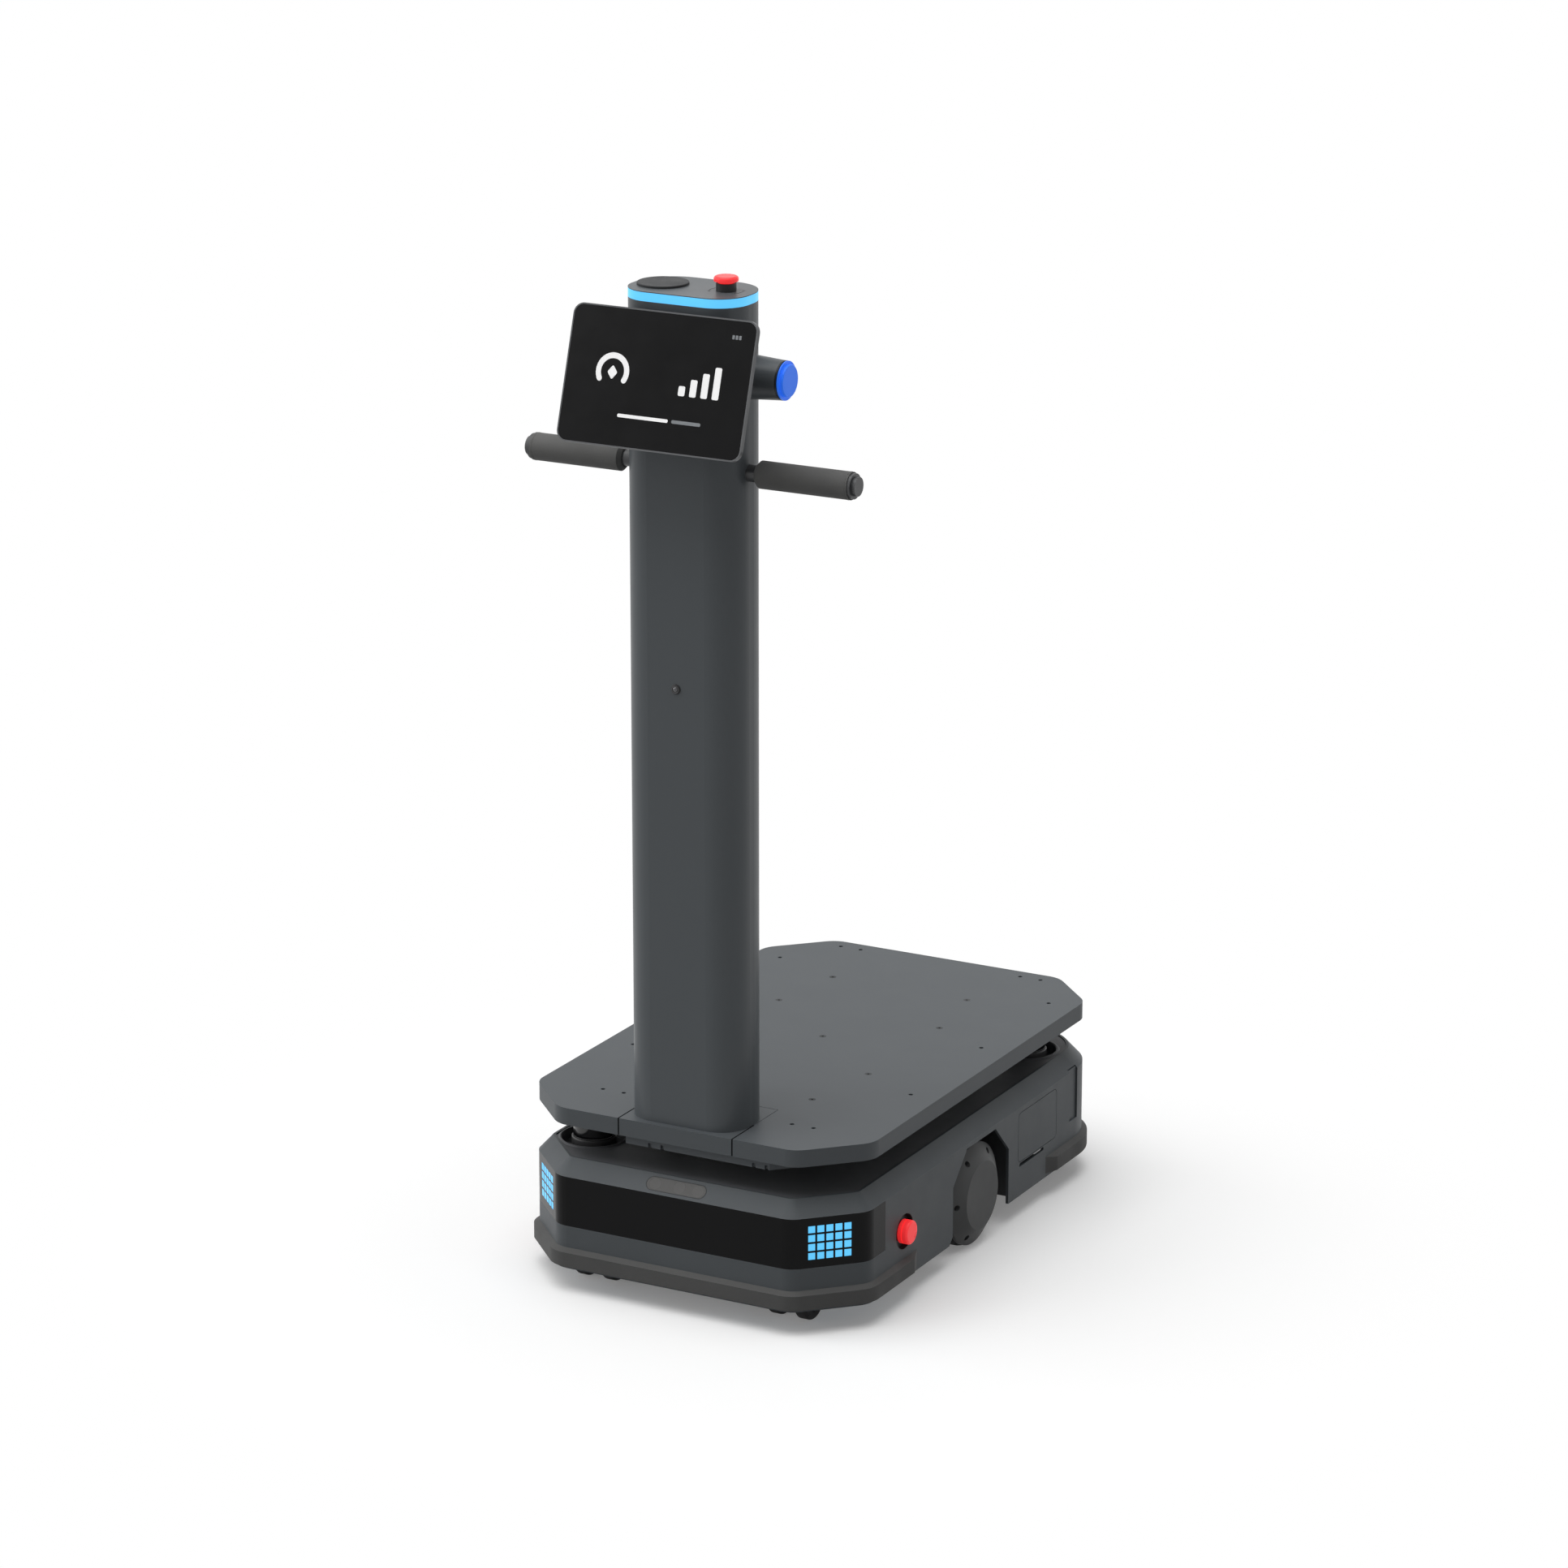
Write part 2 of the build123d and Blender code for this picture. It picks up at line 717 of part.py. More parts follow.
# Chassis frame: floor, rails, caster plates, wheel housings, suspension brackets
with BuildPart() as chassis_frame:
    with BuildSketch(Plane.XY.offset(floor_low)):
        with Locations((0, (floor_front + floor_rear) / 2)):
            Rectangle(2 * inner_half, floor_rear - floor_front)
        with Locations((0, (bumper_front + bumper_rear) / 2)):
            Rectangle(2 * floor_nose_half, bumper_rear - bumper_front - 2 * (shell_inset + seam))
        for side in (-1, 1):
            with Locations((side * (housing_inner_x + half_width) / 2, wheel_y)):
                Rectangle(half_width - housing_inner_x, 2 * housing_half, mode=Mode.SUBTRACT)
    extrude(amount=floor_thick)
    for side in (-1, 1):
        with BuildSketch(Plane.XY.offset(floor_low)):
            with Locations((side * rail_x, (floor_front + floor_rear) / 2)):
                Rectangle(rail_width, floor_rear - floor_front)
        extrude(amount=rail_low - floor_low)
        with BuildSketch(Plane.XY.offset(rail_low)):
            with Locations((side * rail_x, (rail_front + rail_rear) / 2)):
                Rectangle(rail_width, rail_rear - rail_front)
        extrude(amount=rail_top - rail_low)
    with BuildSketch(Plane.XY.offset(rail_low)):
        for y in cross_members:
            with Locations((0, y)):
                Rectangle(2 * rail_x, cross_width)
    extrude(amount=rail_top - rail_low)
    plate_inner = rail_x - rail_width / 2
    plate_outer = caster_x + caster_plate_half
    for _, x, y in caster_places:
        with BuildSketch(Plane.XY.offset(rail_top)):
            with Locations((math.copysign((plate_inner + plate_outer) / 2, x), y)):
                Rectangle(plate_outer - plate_inner, 2 * caster_plate_half)
        extrude(amount=caster_plate_thick)
        with BuildSketch(Plane.XY.offset(caster_head_top + seam)):
            with Locations((x, y)):
                Circle(caster_head_radius)
        extrude(amount=rail_top - caster_head_top - seam)
        with BuildSketch(Plane.XY.offset(caster_head_top)):
            with Locations((x, y)):
                Circle(caster_stem_radius + running)
        extrude(amount=plate_top - caster_head_top, mode=Mode.SUBTRACT)
    for side in (-1, 1):
        with BuildSketch(Plane.YZ.offset(side * housing_inner_x)):
            with Locations((wheel_y, (floor_low + housing_top + housing_sheet) / 2)):
                Rectangle(
                    2 * (housing_half + housing_sheet), housing_top + housing_sheet - floor_low
                )
            with Locations((wheel_y, (floor_low + housing_top) / 2)):
                Rectangle(2 * housing_half, housing_top - floor_low, mode=Mode.SUBTRACT)
        extrude(amount=side * (inner_half - housing_inner_x))
        with BuildSketch(Plane.YZ.offset(side * housing_inner_x)):
            with Locations((wheel_y, (floor_low + housing_top) / 2)):
                Rectangle(2 * housing_half, housing_top - floor_low)
            with Locations((wheel_y, wheel_radius)):
                Circle(axle_radius + axle_hole_play, mode=Mode.SUBTRACT)
        extrude(amount=side * housing_sheet)
        for ear_x in (arm_inner_x - ear_gap - ear_thick, arm_outer_x + ear_gap):
            with BuildSketch(Plane.YZ.offset(side * ear_x)):
                with Locations((pivot_y, wheel_radius)):
                    Circle(arm_half_height)
                with Locations((pivot_y, (wheel_radius + floor_low) / 2)):
                    Rectangle(2 * arm_half_height, wheel_radius - floor_low)
                with Locations((pivot_y, wheel_radius)):
                    Circle(pivot_radius + running, mode=Mode.SUBTRACT)
            extrude(amount=side * ear_thick)
        bracket_inner = rail_x + rail_width / 2
        bracket_outer = arm_x + spring_radius + spring_bracket / 2
        with BuildSketch(Plane.XZ.offset(-spring_y)):
            with Locations(
                (side * (bracket_inner + bracket_outer) / 2, spring_top + spring_bracket / 2)
            ):
                Rectangle(bracket_outer - bracket_inner, spring_bracket)
            with Locations(
                (side * (bracket_inner + spring_bracket / 2), (rail_low + spring_top) / 2)
            ):
                Rectangle(spring_bracket, spring_top - rail_low)
        extrude(amount=spring_radius, both=True)
    with BuildSketch(Plane.XY.offset(rail_top)):
        with Locations((battery_x, battery_y)):
            Rectangle(battery_right - battery_left, battery_rear - battery_front)
    extrude(amount=shelf_thick)
save(chassis_frame, "chassis_frame")

# Roof cover with two round lidar pockets and holes for the deck's posts
with BuildPart() as roof_cover:
    with BuildSketch(Plane.XY.offset(roof_top - roof_thick)):
        add(base_outline(rim_inset + roof_gap))
        with Locations(*post_places):
            Circle(post_radius + running, mode=Mode.SUBTRACT)
    extrude(amount=roof_thick)
    for _, x, y in lidar_places:
        with BuildSketch(Plane.XY.offset(pocket_floor - pocket_wall)):
            with Locations((x, y)):
                Circle(pocket_radius + pocket_wall)
        extrude(amount=roof_top - pocket_floor + pocket_wall)
        with BuildSketch(Plane.XY.offset(pocket_floor)):
            with Locations((x, y)):
                Circle(pocket_radius)
        extrude(amount=roof_top - pocket_floor, mode=Mode.SUBTRACT)
save(roof_cover, "roof_cover")

# Lidars: a housing and a dark round window each
for which, x, y in lidar_places:
    with BuildPart() as lidar_base:
        with BuildSketch(Plane.XY.offset(pocket_floor)):
            with Locations((x, y)):
                Circle(lidar_base_radius)
        extrude(amount=lidar_base_top - pocket_floor)
        chamfer(lidar_base.edges().group_by(Axis.Z)[-1], length=lidar_base_chamfer)
    save(lidar_base, f"lidar_{which}_base")
    with BuildPart() as lidar_window:
        with BuildSketch(Plane.XY.offset(lidar_base_top)):
            with Locations((x, y)):
                Circle(lidar_window_radius)
        extrude(amount=lidar_top - lidar_base_top)
        fillet(lidar_window.edges().group_by(Axis.Z)[-1], radius=lidar_window_round)
    save(lidar_window, f"lidar_{which}_window")

# Battery and controller
with BuildPart() as battery_pack:
    with BuildSketch(Plane.XY.offset(shelf_top)):
        with Locations((battery_x, battery_y)):
            RectangleRounded(
                battery_right - battery_left, battery_rear - battery_front, battery_corner
            )
    extrude(amount=battery_height)
    with BuildSketch(Plane.YZ.offset(battery_right)):
        with Locations((battery_y, shelf_top + battery_height / 2)):
            SlotOverall(battery_grip_length, battery_grip_height)
    extrude(amount=-battery_grip_depth, mode=Mode.SUBTRACT)
save(battery_pack, "battery_pack")

controller_y = (controller_front + controller_rear) / 2
with BuildPart() as controller_box:
    with BuildSketch(Plane.XY.offset(rail_top)):
        with Locations((0, controller_y)):
            RectangleRounded(
                2 * controller_half_width, controller_rear - controller_front, controller_corner
            )
    extrude(amount=controller_height)
    with BuildSketch(Plane.XY.offset(rail_top + controller_height)):
        with Locations((0, controller_y)):
            with GridLocations(0, fin_pitch, 1, fin_count):
                Rectangle(2 * (controller_half_width - fin_margin), fin_gap)
    extrude(amount=-fin_depth, mode=Mode.SUBTRACT)
save(controller_box, "controller_box")

# Battery door: it swings on pin ends set a little below its top edge
with BuildPart() as battery_door:
    with BuildSketch(Plane.YZ.offset(body_half)):
        with Locations(((door_front + door_rear) / 2, (door_low + door_top) / 2)):
            RectangleRounded(door_rear - door_front, door_top - door_low, door_corner - door_gap)
    extrude(amount=-door_thick)
    with BuildSketch(Plane.XZ.offset(door_pin_length - door_front)):
        with Locations((door_pin_x, door_pin_z)):
            Circle(door_pin_radius)
    extrude(amount=-(door_rear - door_front + 2 * door_pin_length))
save(battery_door, "battery_door")

# Drive units, left and right
for which, side in (("left", -1), ("right", 1)):
    # Suspension arm: plate, spring pad, pivot pin and stub axle in one
    with BuildPart() as suspension_arm:
        with BuildSketch(Plane.YZ.offset(side * arm_inner_x)):
            with Locations(((pivot_y + spring_y) / 2, wheel_radius)):
                SlotOverall(pivot_y - spring_y + 2 * arm_half_height, 2 * arm_half_height)
        extrude(amount=side * arm_thick)
        with BuildSketch(Plane.XY.offset(spring_low)):
            with Locations((side * arm_x, spring_y)):
                Circle(spring_radius)
        extrude(amount=-spring_pad)
        with BuildSketch(Plane.YZ.offset(side * (arm_inner_x - ear_gap - ear_thick))):
            with Locations((pivot_y, wheel_radius)):
                Circle(pivot_radius)
        extrude(amount=side * (arm_thick + 2 * (ear_gap + ear_thick)))
        with BuildSketch(Plane.YZ.offset(side * arm_outer_x)):
            with Locations((wheel_y, wheel_radius)):
                Circle(axle_radius)
        extrude(amount=side * axle_length)
    save(suspension_arm, f"suspension_arm_{which}")

    # Coil spring between the arm's pad and its bracket
    coil_low = spring_low + spring_wire_radius + running
    coil_height = spring_top - spring_low - 2 * (spring_wire_radius + running)
    with BuildPart() as suspension_spring:
        with BuildLine() as coil:
            Helix(
                pitch=coil_height / spring_turns,
                height=coil_height,
                radius=spring_radius - spring_wire_radius,
                center=(side * arm_x, spring_y, coil_low),
            )
        with BuildSketch(Plane(origin=coil.line @ 0, z_dir=coil.line % 0)):
            Circle(spring_wire_radius)
        sweep(is_frenet=True)
    save(suspension_spring, f"suspension_spring_{which}")

    # Hub motor, turning on the stub axle
    with BuildPart() as hub_motor:
        with BuildSketch(Plane.YZ.offset(side * tyre_inner_x)):
            with Locations((wheel_y, wheel_radius)):
                Circle(hub_radius)
        extrude(amount=side * (tyre_outer_x - tyre_inner_x))
        with BuildSketch(Plane.YZ.offset(side * hub_boss_x)):
            with Locations((wheel_y, wheel_radius)):
                Circle(hub_boss_radius)
        extrude(amount=side * (tyre_inner_x - hub_boss_x))
        with BuildSketch(Plane.YZ.offset(side * tyre_inner_x)):
            with Locations((wheel_y, wheel_radius)):
                Circle(hub_radius - tyre_round)
                Circle(hub_boss_radius + tyre_round, mode=Mode.SUBTRACT)
        extrude(amount=side * hub_wall_recess, mode=Mode.SUBTRACT)
        with BuildSketch(Plane.YZ.offset(side * hub_boss_x)):
            with Locations((wheel_y, wheel_radius)):
                Circle(axle_radius + running)
        bore_end = arm_outer_x + axle_length + seam
        extrude(amount=side * (bore_end - hub_boss_x), mode=Mode.SUBTRACT)
    save(hub_motor, f"hub_motor_{which}")

    # Tyre: a solid tread ring on the hub
    with BuildPart() as drive_tyre:
        with BuildSketch(Plane.YZ.offset(side * tyre_inner_x)):
            with Locations((wheel_y, wheel_radius)):
                Circle(wheel_radius)
        extrude(amount=side * (tyre_outer_x - tyre_inner_x))
        fillet(drive_tyre.edges().filter_by(GeomType.CIRCLE), radius=tyre_round)
        with BuildSketch(Plane.YZ.offset(side * tyre_inner_x)):
            with Locations((wheel_y, wheel_radius)):
                Circle(hub_radius)
        extrude(amount=side * (tyre_outer_x - tyre_inner_x), mode=Mode.SUBTRACT)
    save(drive_tyre, f"drive_tyre_{which}")

    # Domed wheel cover: rim, bevel and flat face, with screw wells in the bevel
    with BuildPart() as wheel_cover:
        with BuildSketch(Plane.YZ.offset(side * tyre_outer_x)):
            with Locations((wheel_y, wheel_radius)):
                Circle(cover_rim_radius)
        extrude(amount=side * (cover_rim_x - tyre_outer_x))
        with BuildSketch(Plane.YZ.offset(side * cover_rim_x)):
            with Locations((wheel_y, wheel_radius)):
                Circle(cover_rim_radius)
        with BuildSketch(Plane.YZ.offset(side * cover_face_x)):
            with Locations((wheel_y, wheel_radius)):
                Circle(cover_face_radius)
        loft(ruled=True)
        with BuildSketch(Plane.YZ.offset(side * cover_face_x)):
            with Locations((wheel_y, wheel_radius)):
                with PolarLocations(cover_screw_ring, cover_screws):
                    Circle(cover_screw_radius)
        well_reach = cover_face_x - cover_rim_x + cover_screw_seat
        extrude(amount=-side * well_reach, mode=Mode.SUBTRACT)
    save(wheel_cover, f"wheel_cover_{which}")

# Swivel casters: a fork with its stem, and a pair of wheels on one axle
for which, x, y in caster_places:
    axle_y = y - caster_trail
    with BuildPart() as caster_fork:
        with BuildSketch(Plane.XY.offset(caster_head_low)):
            with Locations((x, y)):
                Circle(caster_head_radius)
        extrude(amount=caster_head_top - caster_head_low)
        with BuildSketch(Plane.XY.offset(caster_head_top)):
            with Locations((x, y)):
                Circle(caster_stem_radius)
        extrude(amount=plate_top - caster_head_top)
        with BuildSketch(Plane.YZ.offset(x)):
            with BuildLine():
                Polyline(
                    (axle_y - caster_web_radius, caster_wheel_radius),
                    (y - caster_web, caster_head_low),
                    (y + caster_web, caster_head_low),
                    (axle_y + caster_web_radius, caster_wheel_radius),
                    close=True,
                )
            make_face()
            with Locations((axle_y, caster_wheel_radius)):
                Circle(caster_web_radius)
        extrude(amount=caster_web / 2, both=True)
        with BuildSketch(Plane.YZ.offset(x)):
            with Locations((axle_y, caster_wheel_radius)):
                Circle(caster_axle_radius + running)
        extrude(amount=caster_web / 2, both=True, mode=Mode.SUBTRACT)
    save(caster_fork, f"caster_fork_{which}")

    wheel_inner = caster_web / 2 + caster_side_gap
    wheel_outer = wheel_inner + caster_wheel_width
    with BuildPart() as caster_wheels:
        for side in (-1, 1):
            with BuildSketch(Plane.YZ.offset(x + side * wheel_inner)):
                with Locations((axle_y, caster_wheel_radius)):
                    Circle(caster_wheel_radius)
            extrude(amount=side * caster_wheel_width)
        fillet(caster_wheels.edges().filter_by(GeomType.CIRCLE), radius=caster_wheel_round)
        for side in (-1, 1):
            with BuildSketch(Plane.YZ.offset(x + side * wheel_outer)):
                with Locations((axle_y, caster_wheel_radius)):
                    Circle(caster_hub_radius)
                    Circle(caster_axle_radius + caster_hub_recess, mode=Mode.SUBTRACT)
            extrude(amount=-side * caster_hub_recess, mode=Mode.SUBTRACT)
        with BuildSketch(Plane.YZ.offset(x)):
            with Locations((axle_y, caster_wheel_radius)):
                Circle(caster_axle_radius)
        extrude(amount=wheel_inner, both=True)
    save(caster_wheels, f"caster_wheels_{which}")


def deck_hole_places():
    inner = GridLocations(2 * end_hole_inner_x, end_hole_span, 2, 2)
    outer = GridLocations(2 * end_hole_outer_x, end_hole_span, 2, 2)
    sides = GridLocations(2 * side_hole_x, side_hole_pitch, 2, 3)
    ends = [Pos(0, end_hole_y, 0) * spot for spot in list(inner) + list(outer)]
    return ends + [Pos(0, side_hole_y, 0) * spot for spot in sides]


def deck_screw_places(height):
    outer = GridLocations(2 * deck_screw_outer_x, 2 * deck_screw_outer_y, 2, 2)
    inner = GridLocations(2 * deck_screw_inner_x, 2 * deck_screw_inner_y, 2, 2)
    spots = [Pos(0, 0, 0)] + list(outer) + list(inner)
    return [Pos(0, deck_screw_y, height) * spot for spot in spots]


# Load deck: a shallow tray upside down, with bosses under its tapped holes
with BuildPart() as load_deck:
    with BuildSketch(Plane.XY.offset(deck_low)):
        add(deck_outline(0))
    extrude(amount=deck_top - deck_low)
    with BuildSketch(Plane.XY.offset(deck_low)):
        add(deck_outline(deck_wall))
    extrude(amount=frame_top - deck_low, mode=Mode.SUBTRACT)
    with BuildSketch(Plane.XY.offset(deck_top - boss_depth)):
        with Locations(*deck_hole_places()):
            Circle(boss_radius)
    extrude(amount=boss_depth - deck_skin)
    with BuildSketch(Plane.XY.offset(deck_top - boss_depth)):
        with Locations(*deck_hole_places()):
            Circle(tapped_radius)
    extrude(amount=boss_depth, mode=Mode.SUBTRACT)
    with BuildSketch(Plane.XY.offset(deck_low)):
        with Locations((0, deck_front + insert_length / 2)):
            Rectangle(2 * (insert_half_width + insert_gap), insert_length + 2 * insert_gap)
    extrude(amount=deck_top - deck_low, mode=Mode.SUBTRACT)
    with Locations(*deck_screw_places(deck_top)):
        CounterSinkHole(
            radius=screw_radius,
            counter_sink_radius=screw_head_radius,
            depth=deck_skin,
            counter_sink_angle=90,
        )
save(load_deck, "load_deck")

# Column foot: one casting, flush with the deck's top, its flange under the deck's edge
with BuildPart() as column_foot:
    with BuildSketch(Plane.XY.offset(deck_low)):
        with Locations((0, deck_front + insert_length / 2)):
            Rectangle(2 * insert_half_width, insert_length)
    extrude(amount=deck_top - deck_low)
    with BuildSketch(Plane.XY.offset(flange_low)):
        with BuildLine():
            Polyline(
                (flange_left, flange_front),
                (flange_right - flange_cut, flange_front),
                (flange_right, flange_front + flange_cut),
                (flange_right, insert_rear),
                (flange_left, insert_rear),
                close=True,
            )
        make_face()
    extrude(amount=deck_low - flange_low)
    with BuildSketch(Plane.XY.offset(flange_low)):
        with Locations(*[(x, flange_front) for x in notch_x]):
            Rectangle(notch_width, 2 * notch_depth)
    extrude(amount=(deck_low - flange_low) / 2, mode=Mode.SUBTRACT)
    with BuildSketch(Plane.XY.offset(deck_top)):
        add(column_outline(column_wall + slip))
    extrude(amount=spigot_height)
save(column_foot, "column_foot")

# Deck frame: two box rails, three cross bars and six posts down to the chassis rails
with BuildPart() as deck_frame:
    cross_low = frame_low + frame_rail_wall
    with BuildSketch(Plane.XY.offset(cross_low)):
        for y in (frame_front + frame_cross_width / 2, post_y[1], post_y[2]):
            with Locations((0, y)):
                Rectangle(2 * frame_rail_x, frame_cross_width)
    extrude(amount=frame_top - cross_low)
    for side in (-1, 1):
        with BuildSketch(Plane.XZ.offset(-frame_front)):
            with Locations((side * frame_rail_x, frame_low + frame_height / 2)):
                Rectangle(frame_rail_width, frame_height)
        extrude(amount=-(frame_rail_rear - frame_front))
        with BuildSketch(Plane.XZ.offset(-frame_front)):
            with Locations((side * frame_rail_x, frame_low + frame_height / 2)):
                Rectangle(
                    frame_rail_width - 2 * frame_rail_wall, frame_height - 2 * frame_rail_wall
                )
        extrude(amount=-(frame_rail_rear - frame_front), mode=Mode.SUBTRACT)
    with BuildSketch(Plane.XY.offset(rail_top)):
        with Locations(*post_places):
            Circle(post_radius)
    extrude(amount=frame_low - rail_top)
    with Locations(*deck_screw_places(frame_top)):
        Hole(radius=screw_radius, depth=frame_rail_wall)
save(deck_frame, "deck_frame")

# Deck screws: countersunk, with a round socket
with BuildPart(mode=Mode.PRIVATE) as deck_screw:
    with BuildSketch(Plane.XZ):
        head = screw_head_radius - slip
        shank = screw_radius - slip
        tip_z = -(deck_skin + frame_rail_wall)
        with BuildLine():
            Polyline(
                (0, -screw_socket_depth),
                (screw_socket_radius, -screw_socket_depth),
                (screw_socket_radius, 0),
                (head, 0),
                (shank, shank - head),
                (shank, tip_z),
                (0, tip_z),
                close=True,
            )
        make_face()
    revolve(axis=Axis.Z)

with BuildPart() as deck_screws:
    with Locations(*deck_screw_places(deck_top)):
        add(deck_screw.part)
save(deck_screws, "deck_screws")

# Column tube, with holes for the handle bar and the camera
with BuildPart() as column_tube:
    with BuildSketch(Plane.XY.offset(deck_top)):
        add(column_outline(0))
        add(column_outline(column_wall), mode=Mode.SUBTRACT)
    extrude(amount=column_top - deck_top)
    with BuildSketch(Plane.YZ.offset(-column_half_width)):
        with Locations((handle_y, handle_z)):
            Circle(handle_bar_radius + running)
    extrude(amount=2 * column_half_width, mode=Mode.SUBTRACT)
    with BuildSketch(Plane.XZ.offset(-column_front)):
        with Locations((0, lens_height)):
            Circle(lens_radius + running)
    extrude(amount=-2 * column_wall, mode=Mode.SUBTRACT)
save(column_tube, "column_tube")

# Light band, and the cap plugged into it
with BuildPart() as light_band:
    with BuildSketch(Plane.XY.offset(column_top)):
        add(column_outline(0))
        add(column_outline(band_wall), mode=Mode.SUBTRACT)
    extrude(amount=band_height)
save(light_band, "light_band")

with BuildPart() as column_cap:
    with BuildSketch(Plane.XY.offset(band_top)):
        add(column_outline(0))
    extrude(amount=cap_thick)
    with BuildSketch(Plane.XY.offset(band_top)):
        add(column_outline(band_wall + slip))
    extrude(amount=-cap_plug)
    with BuildSketch(Plane.XY.offset(cap_top)):
        with Locations((top_stop_x, column_y)):
            Circle(top_collar_radius + running)
    extrude(amount=-cap_thick - cap_plug, mode=Mode.SUBTRACT)
save(column_cap, "column_cap")

with BuildPart() as top_disc:
    with BuildSketch(Plane.XY.offset(cap_top)):
        with Locations((disc_x, column_y)):
            Circle(disc_radius)
    extrude(amount=disc_thick)
    fillet(top_disc.edges().group_by(Axis.Z)[-1], radius=disc_round)
save(top_disc, "top_disc")

with BuildPart() as column_camera:
    with BuildSketch(Plane.XZ.offset(lens_proud - column_front)):
        with Locations((0, lens_height)):
            Circle(lens_radius)
    extrude(amount=-lens_proud - lens_depth)
    fillet(column_camera.edges().group_by(Axis.Y)[0], radius=lens_round)
save(column_camera, "column_camera")

# Stop button on the cap: collar and mushroom head
collar_top = cap_top + top_collar_height
head_low = collar_top + stop_gap
stop_bore = stop_stem_length - stop_gap + stop_travel + seam

with BuildPart() as top_estop_collar:
    with BuildSketch(Plane.XY.offset(collar_top)):
        with Locations((top_stop_x, column_y)):
            Circle(top_collar_radius)
    extrude(amount=-top_collar_height - top_collar_depth)
    with BuildSketch(Plane.XY.offset(collar_top)):
        with Locations((top_stop_x, column_y)):
            Circle(top_stem_radius + running)
    extrude(amount=-stop_bore, mode=Mode.SUBTRACT)
save(top_estop_collar, "top_estop_collar")

with BuildPart() as top_estop_cap:
    with BuildSketch(Plane.XY.offset(head_low)):
        with Locations((top_stop_x, column_y)):
            Circle(top_head_radius)
    extrude(amount=top_head_height)
    fillet(top_estop_cap.edges().group_by(Axis.Z)[-1], radius=top_head_round)
    with BuildSketch(Plane.XY.offset(head_low)):
        with Locations((top_stop_x, column_y)):
            Circle(top_stem_radius)
    extrude(amount=-stop_stem_length)
save(top_estop_cap, "top_estop_cap")

# Stop buttons in the sides of the base
cup_floor = body_half - side_cup_depth
collar_end = cup_floor + side_collar_height
head_start = collar_end + stop_gap

for which, side in (("left", -1), ("right", 1)):
    with BuildPart() as side_estop_collar:
        with BuildSketch(Plane.YZ.offset(side * (cup_floor - side_cup_wall))):
            with Locations((side_stop_y, side_stop_z)):
                Circle(side_cup_radius)
        extrude(amount=side * (side_cup_wall + side_cup_depth))
        with BuildSketch(Plane.YZ.offset(side * cup_floor)):
            with Locations((side_stop_y, side_stop_z)):
                Circle(side_cup_radius - side_cup_wall)
        extrude(amount=side * side_cup_depth, mode=Mode.SUBTRACT)
        with BuildSketch(Plane.YZ.offset(side * cup_floor)):
            with Locations((side_stop_y, side_stop_z)):
                Circle(side_collar_radius)
        extrude(amount=side * side_collar_height)
        with BuildSketch(Plane.YZ.offset(side * cup_floor)):
            with Locations((side_stop_y, side_stop_z)):
                Circle(side_barrel_radius)
        extrude(amount=-side * side_barrel_length)
        with BuildSketch(Plane.YZ.offset(side * collar_end)):
            with Locations((side_stop_y, side_stop_z)):
                Circle(side_stem_radius + running)
        extrude(amount=-side * stop_bore, mode=Mode.SUBTRACT)
    save(side_estop_collar, f"{which}_estop_collar")

    with BuildPart() as side_estop_cap:
        with BuildSketch(Plane.YZ.offset(side * head_start)):
            with Locations((side_stop_y, side_stop_z)):
                Circle(side_head_radius)
        extrude(amount=side * side_head_height)
        outer_edge = side_estop_cap.edges().sort_by(Axis.X)[-1 if side > 0 else 0]
        fillet(outer_edge, radius=side_head_round)
        with BuildSketch(Plane.YZ.offset(side * (head_start + side_groove_start))):
            with Locations((side_stop_y, side_stop_z)):
                Circle(side_head_radius)
                Circle(side_head_radius - side_groove_depth, mode=Mode.SUBTRACT)
        extrude(amount=side * side_groove_width, mode=Mode.SUBTRACT)
        with BuildSketch(Plane.YZ.offset(side * head_start)):
            with Locations((side_stop_y, side_stop_z)):
                Circle(side_stem_radius)
        extrude(amount=-side * stop_stem_length)
    save(side_estop_cap, f"{which}_estop_cap")

# Screen: its face leans back, and its lower front edge is the robot's foremost point
lean = math.radians(screen_lean)
screen_plane = Plane(
    origin=(
        0,
        front_end + screen_height / 2 * math.sin(lean),
        screen_low + screen_height / 2 * math.cos(lean),
    ),
    x_dir=(1, 0, 0),
    z_dir=(0, -math.cos(lean), math.sin(lean)),
)

with BuildPart() as screen_housing:
    with BuildSketch(screen_plane):
        RectangleRounded(screen_width, screen_height, screen_corner)
    extrude(amount=-screen_thick)
    back_face = screen_housing.faces().sort_by(Axis((0, 0, 0), screen_plane.z_dir))[0]
    chamfer(back_face.edges(), length=screen_chamfer)
    with BuildSketch(screen_plane):
        RectangleRounded(
            screen_width - 2 * glass_margin,
            screen_height - 2 * glass_margin,
            screen_corner - glass_margin,
        )
    extrude(amount=-glass_thick, mode=Mode.SUBTRACT)
save(screen_housing, "screen_housing")

with BuildPart() as screen_glass:
    with BuildSketch(screen_plane):
        RectangleRounded(
            screen_width - 2 * (glass_margin + slip),
            screen_height - 2 * (glass_margin + slip),
            screen_corner - glass_margin - slip,
        )
    extrude(amount=-glass_thick)
save(screen_glass, "screen_glass")


def screen_back_y(z):
    """Where the screen's back plane lies at a height."""
    face = front_end + (z - screen_low) * math.tan(lean)
    return face + screen_thick / math.cos(lean)


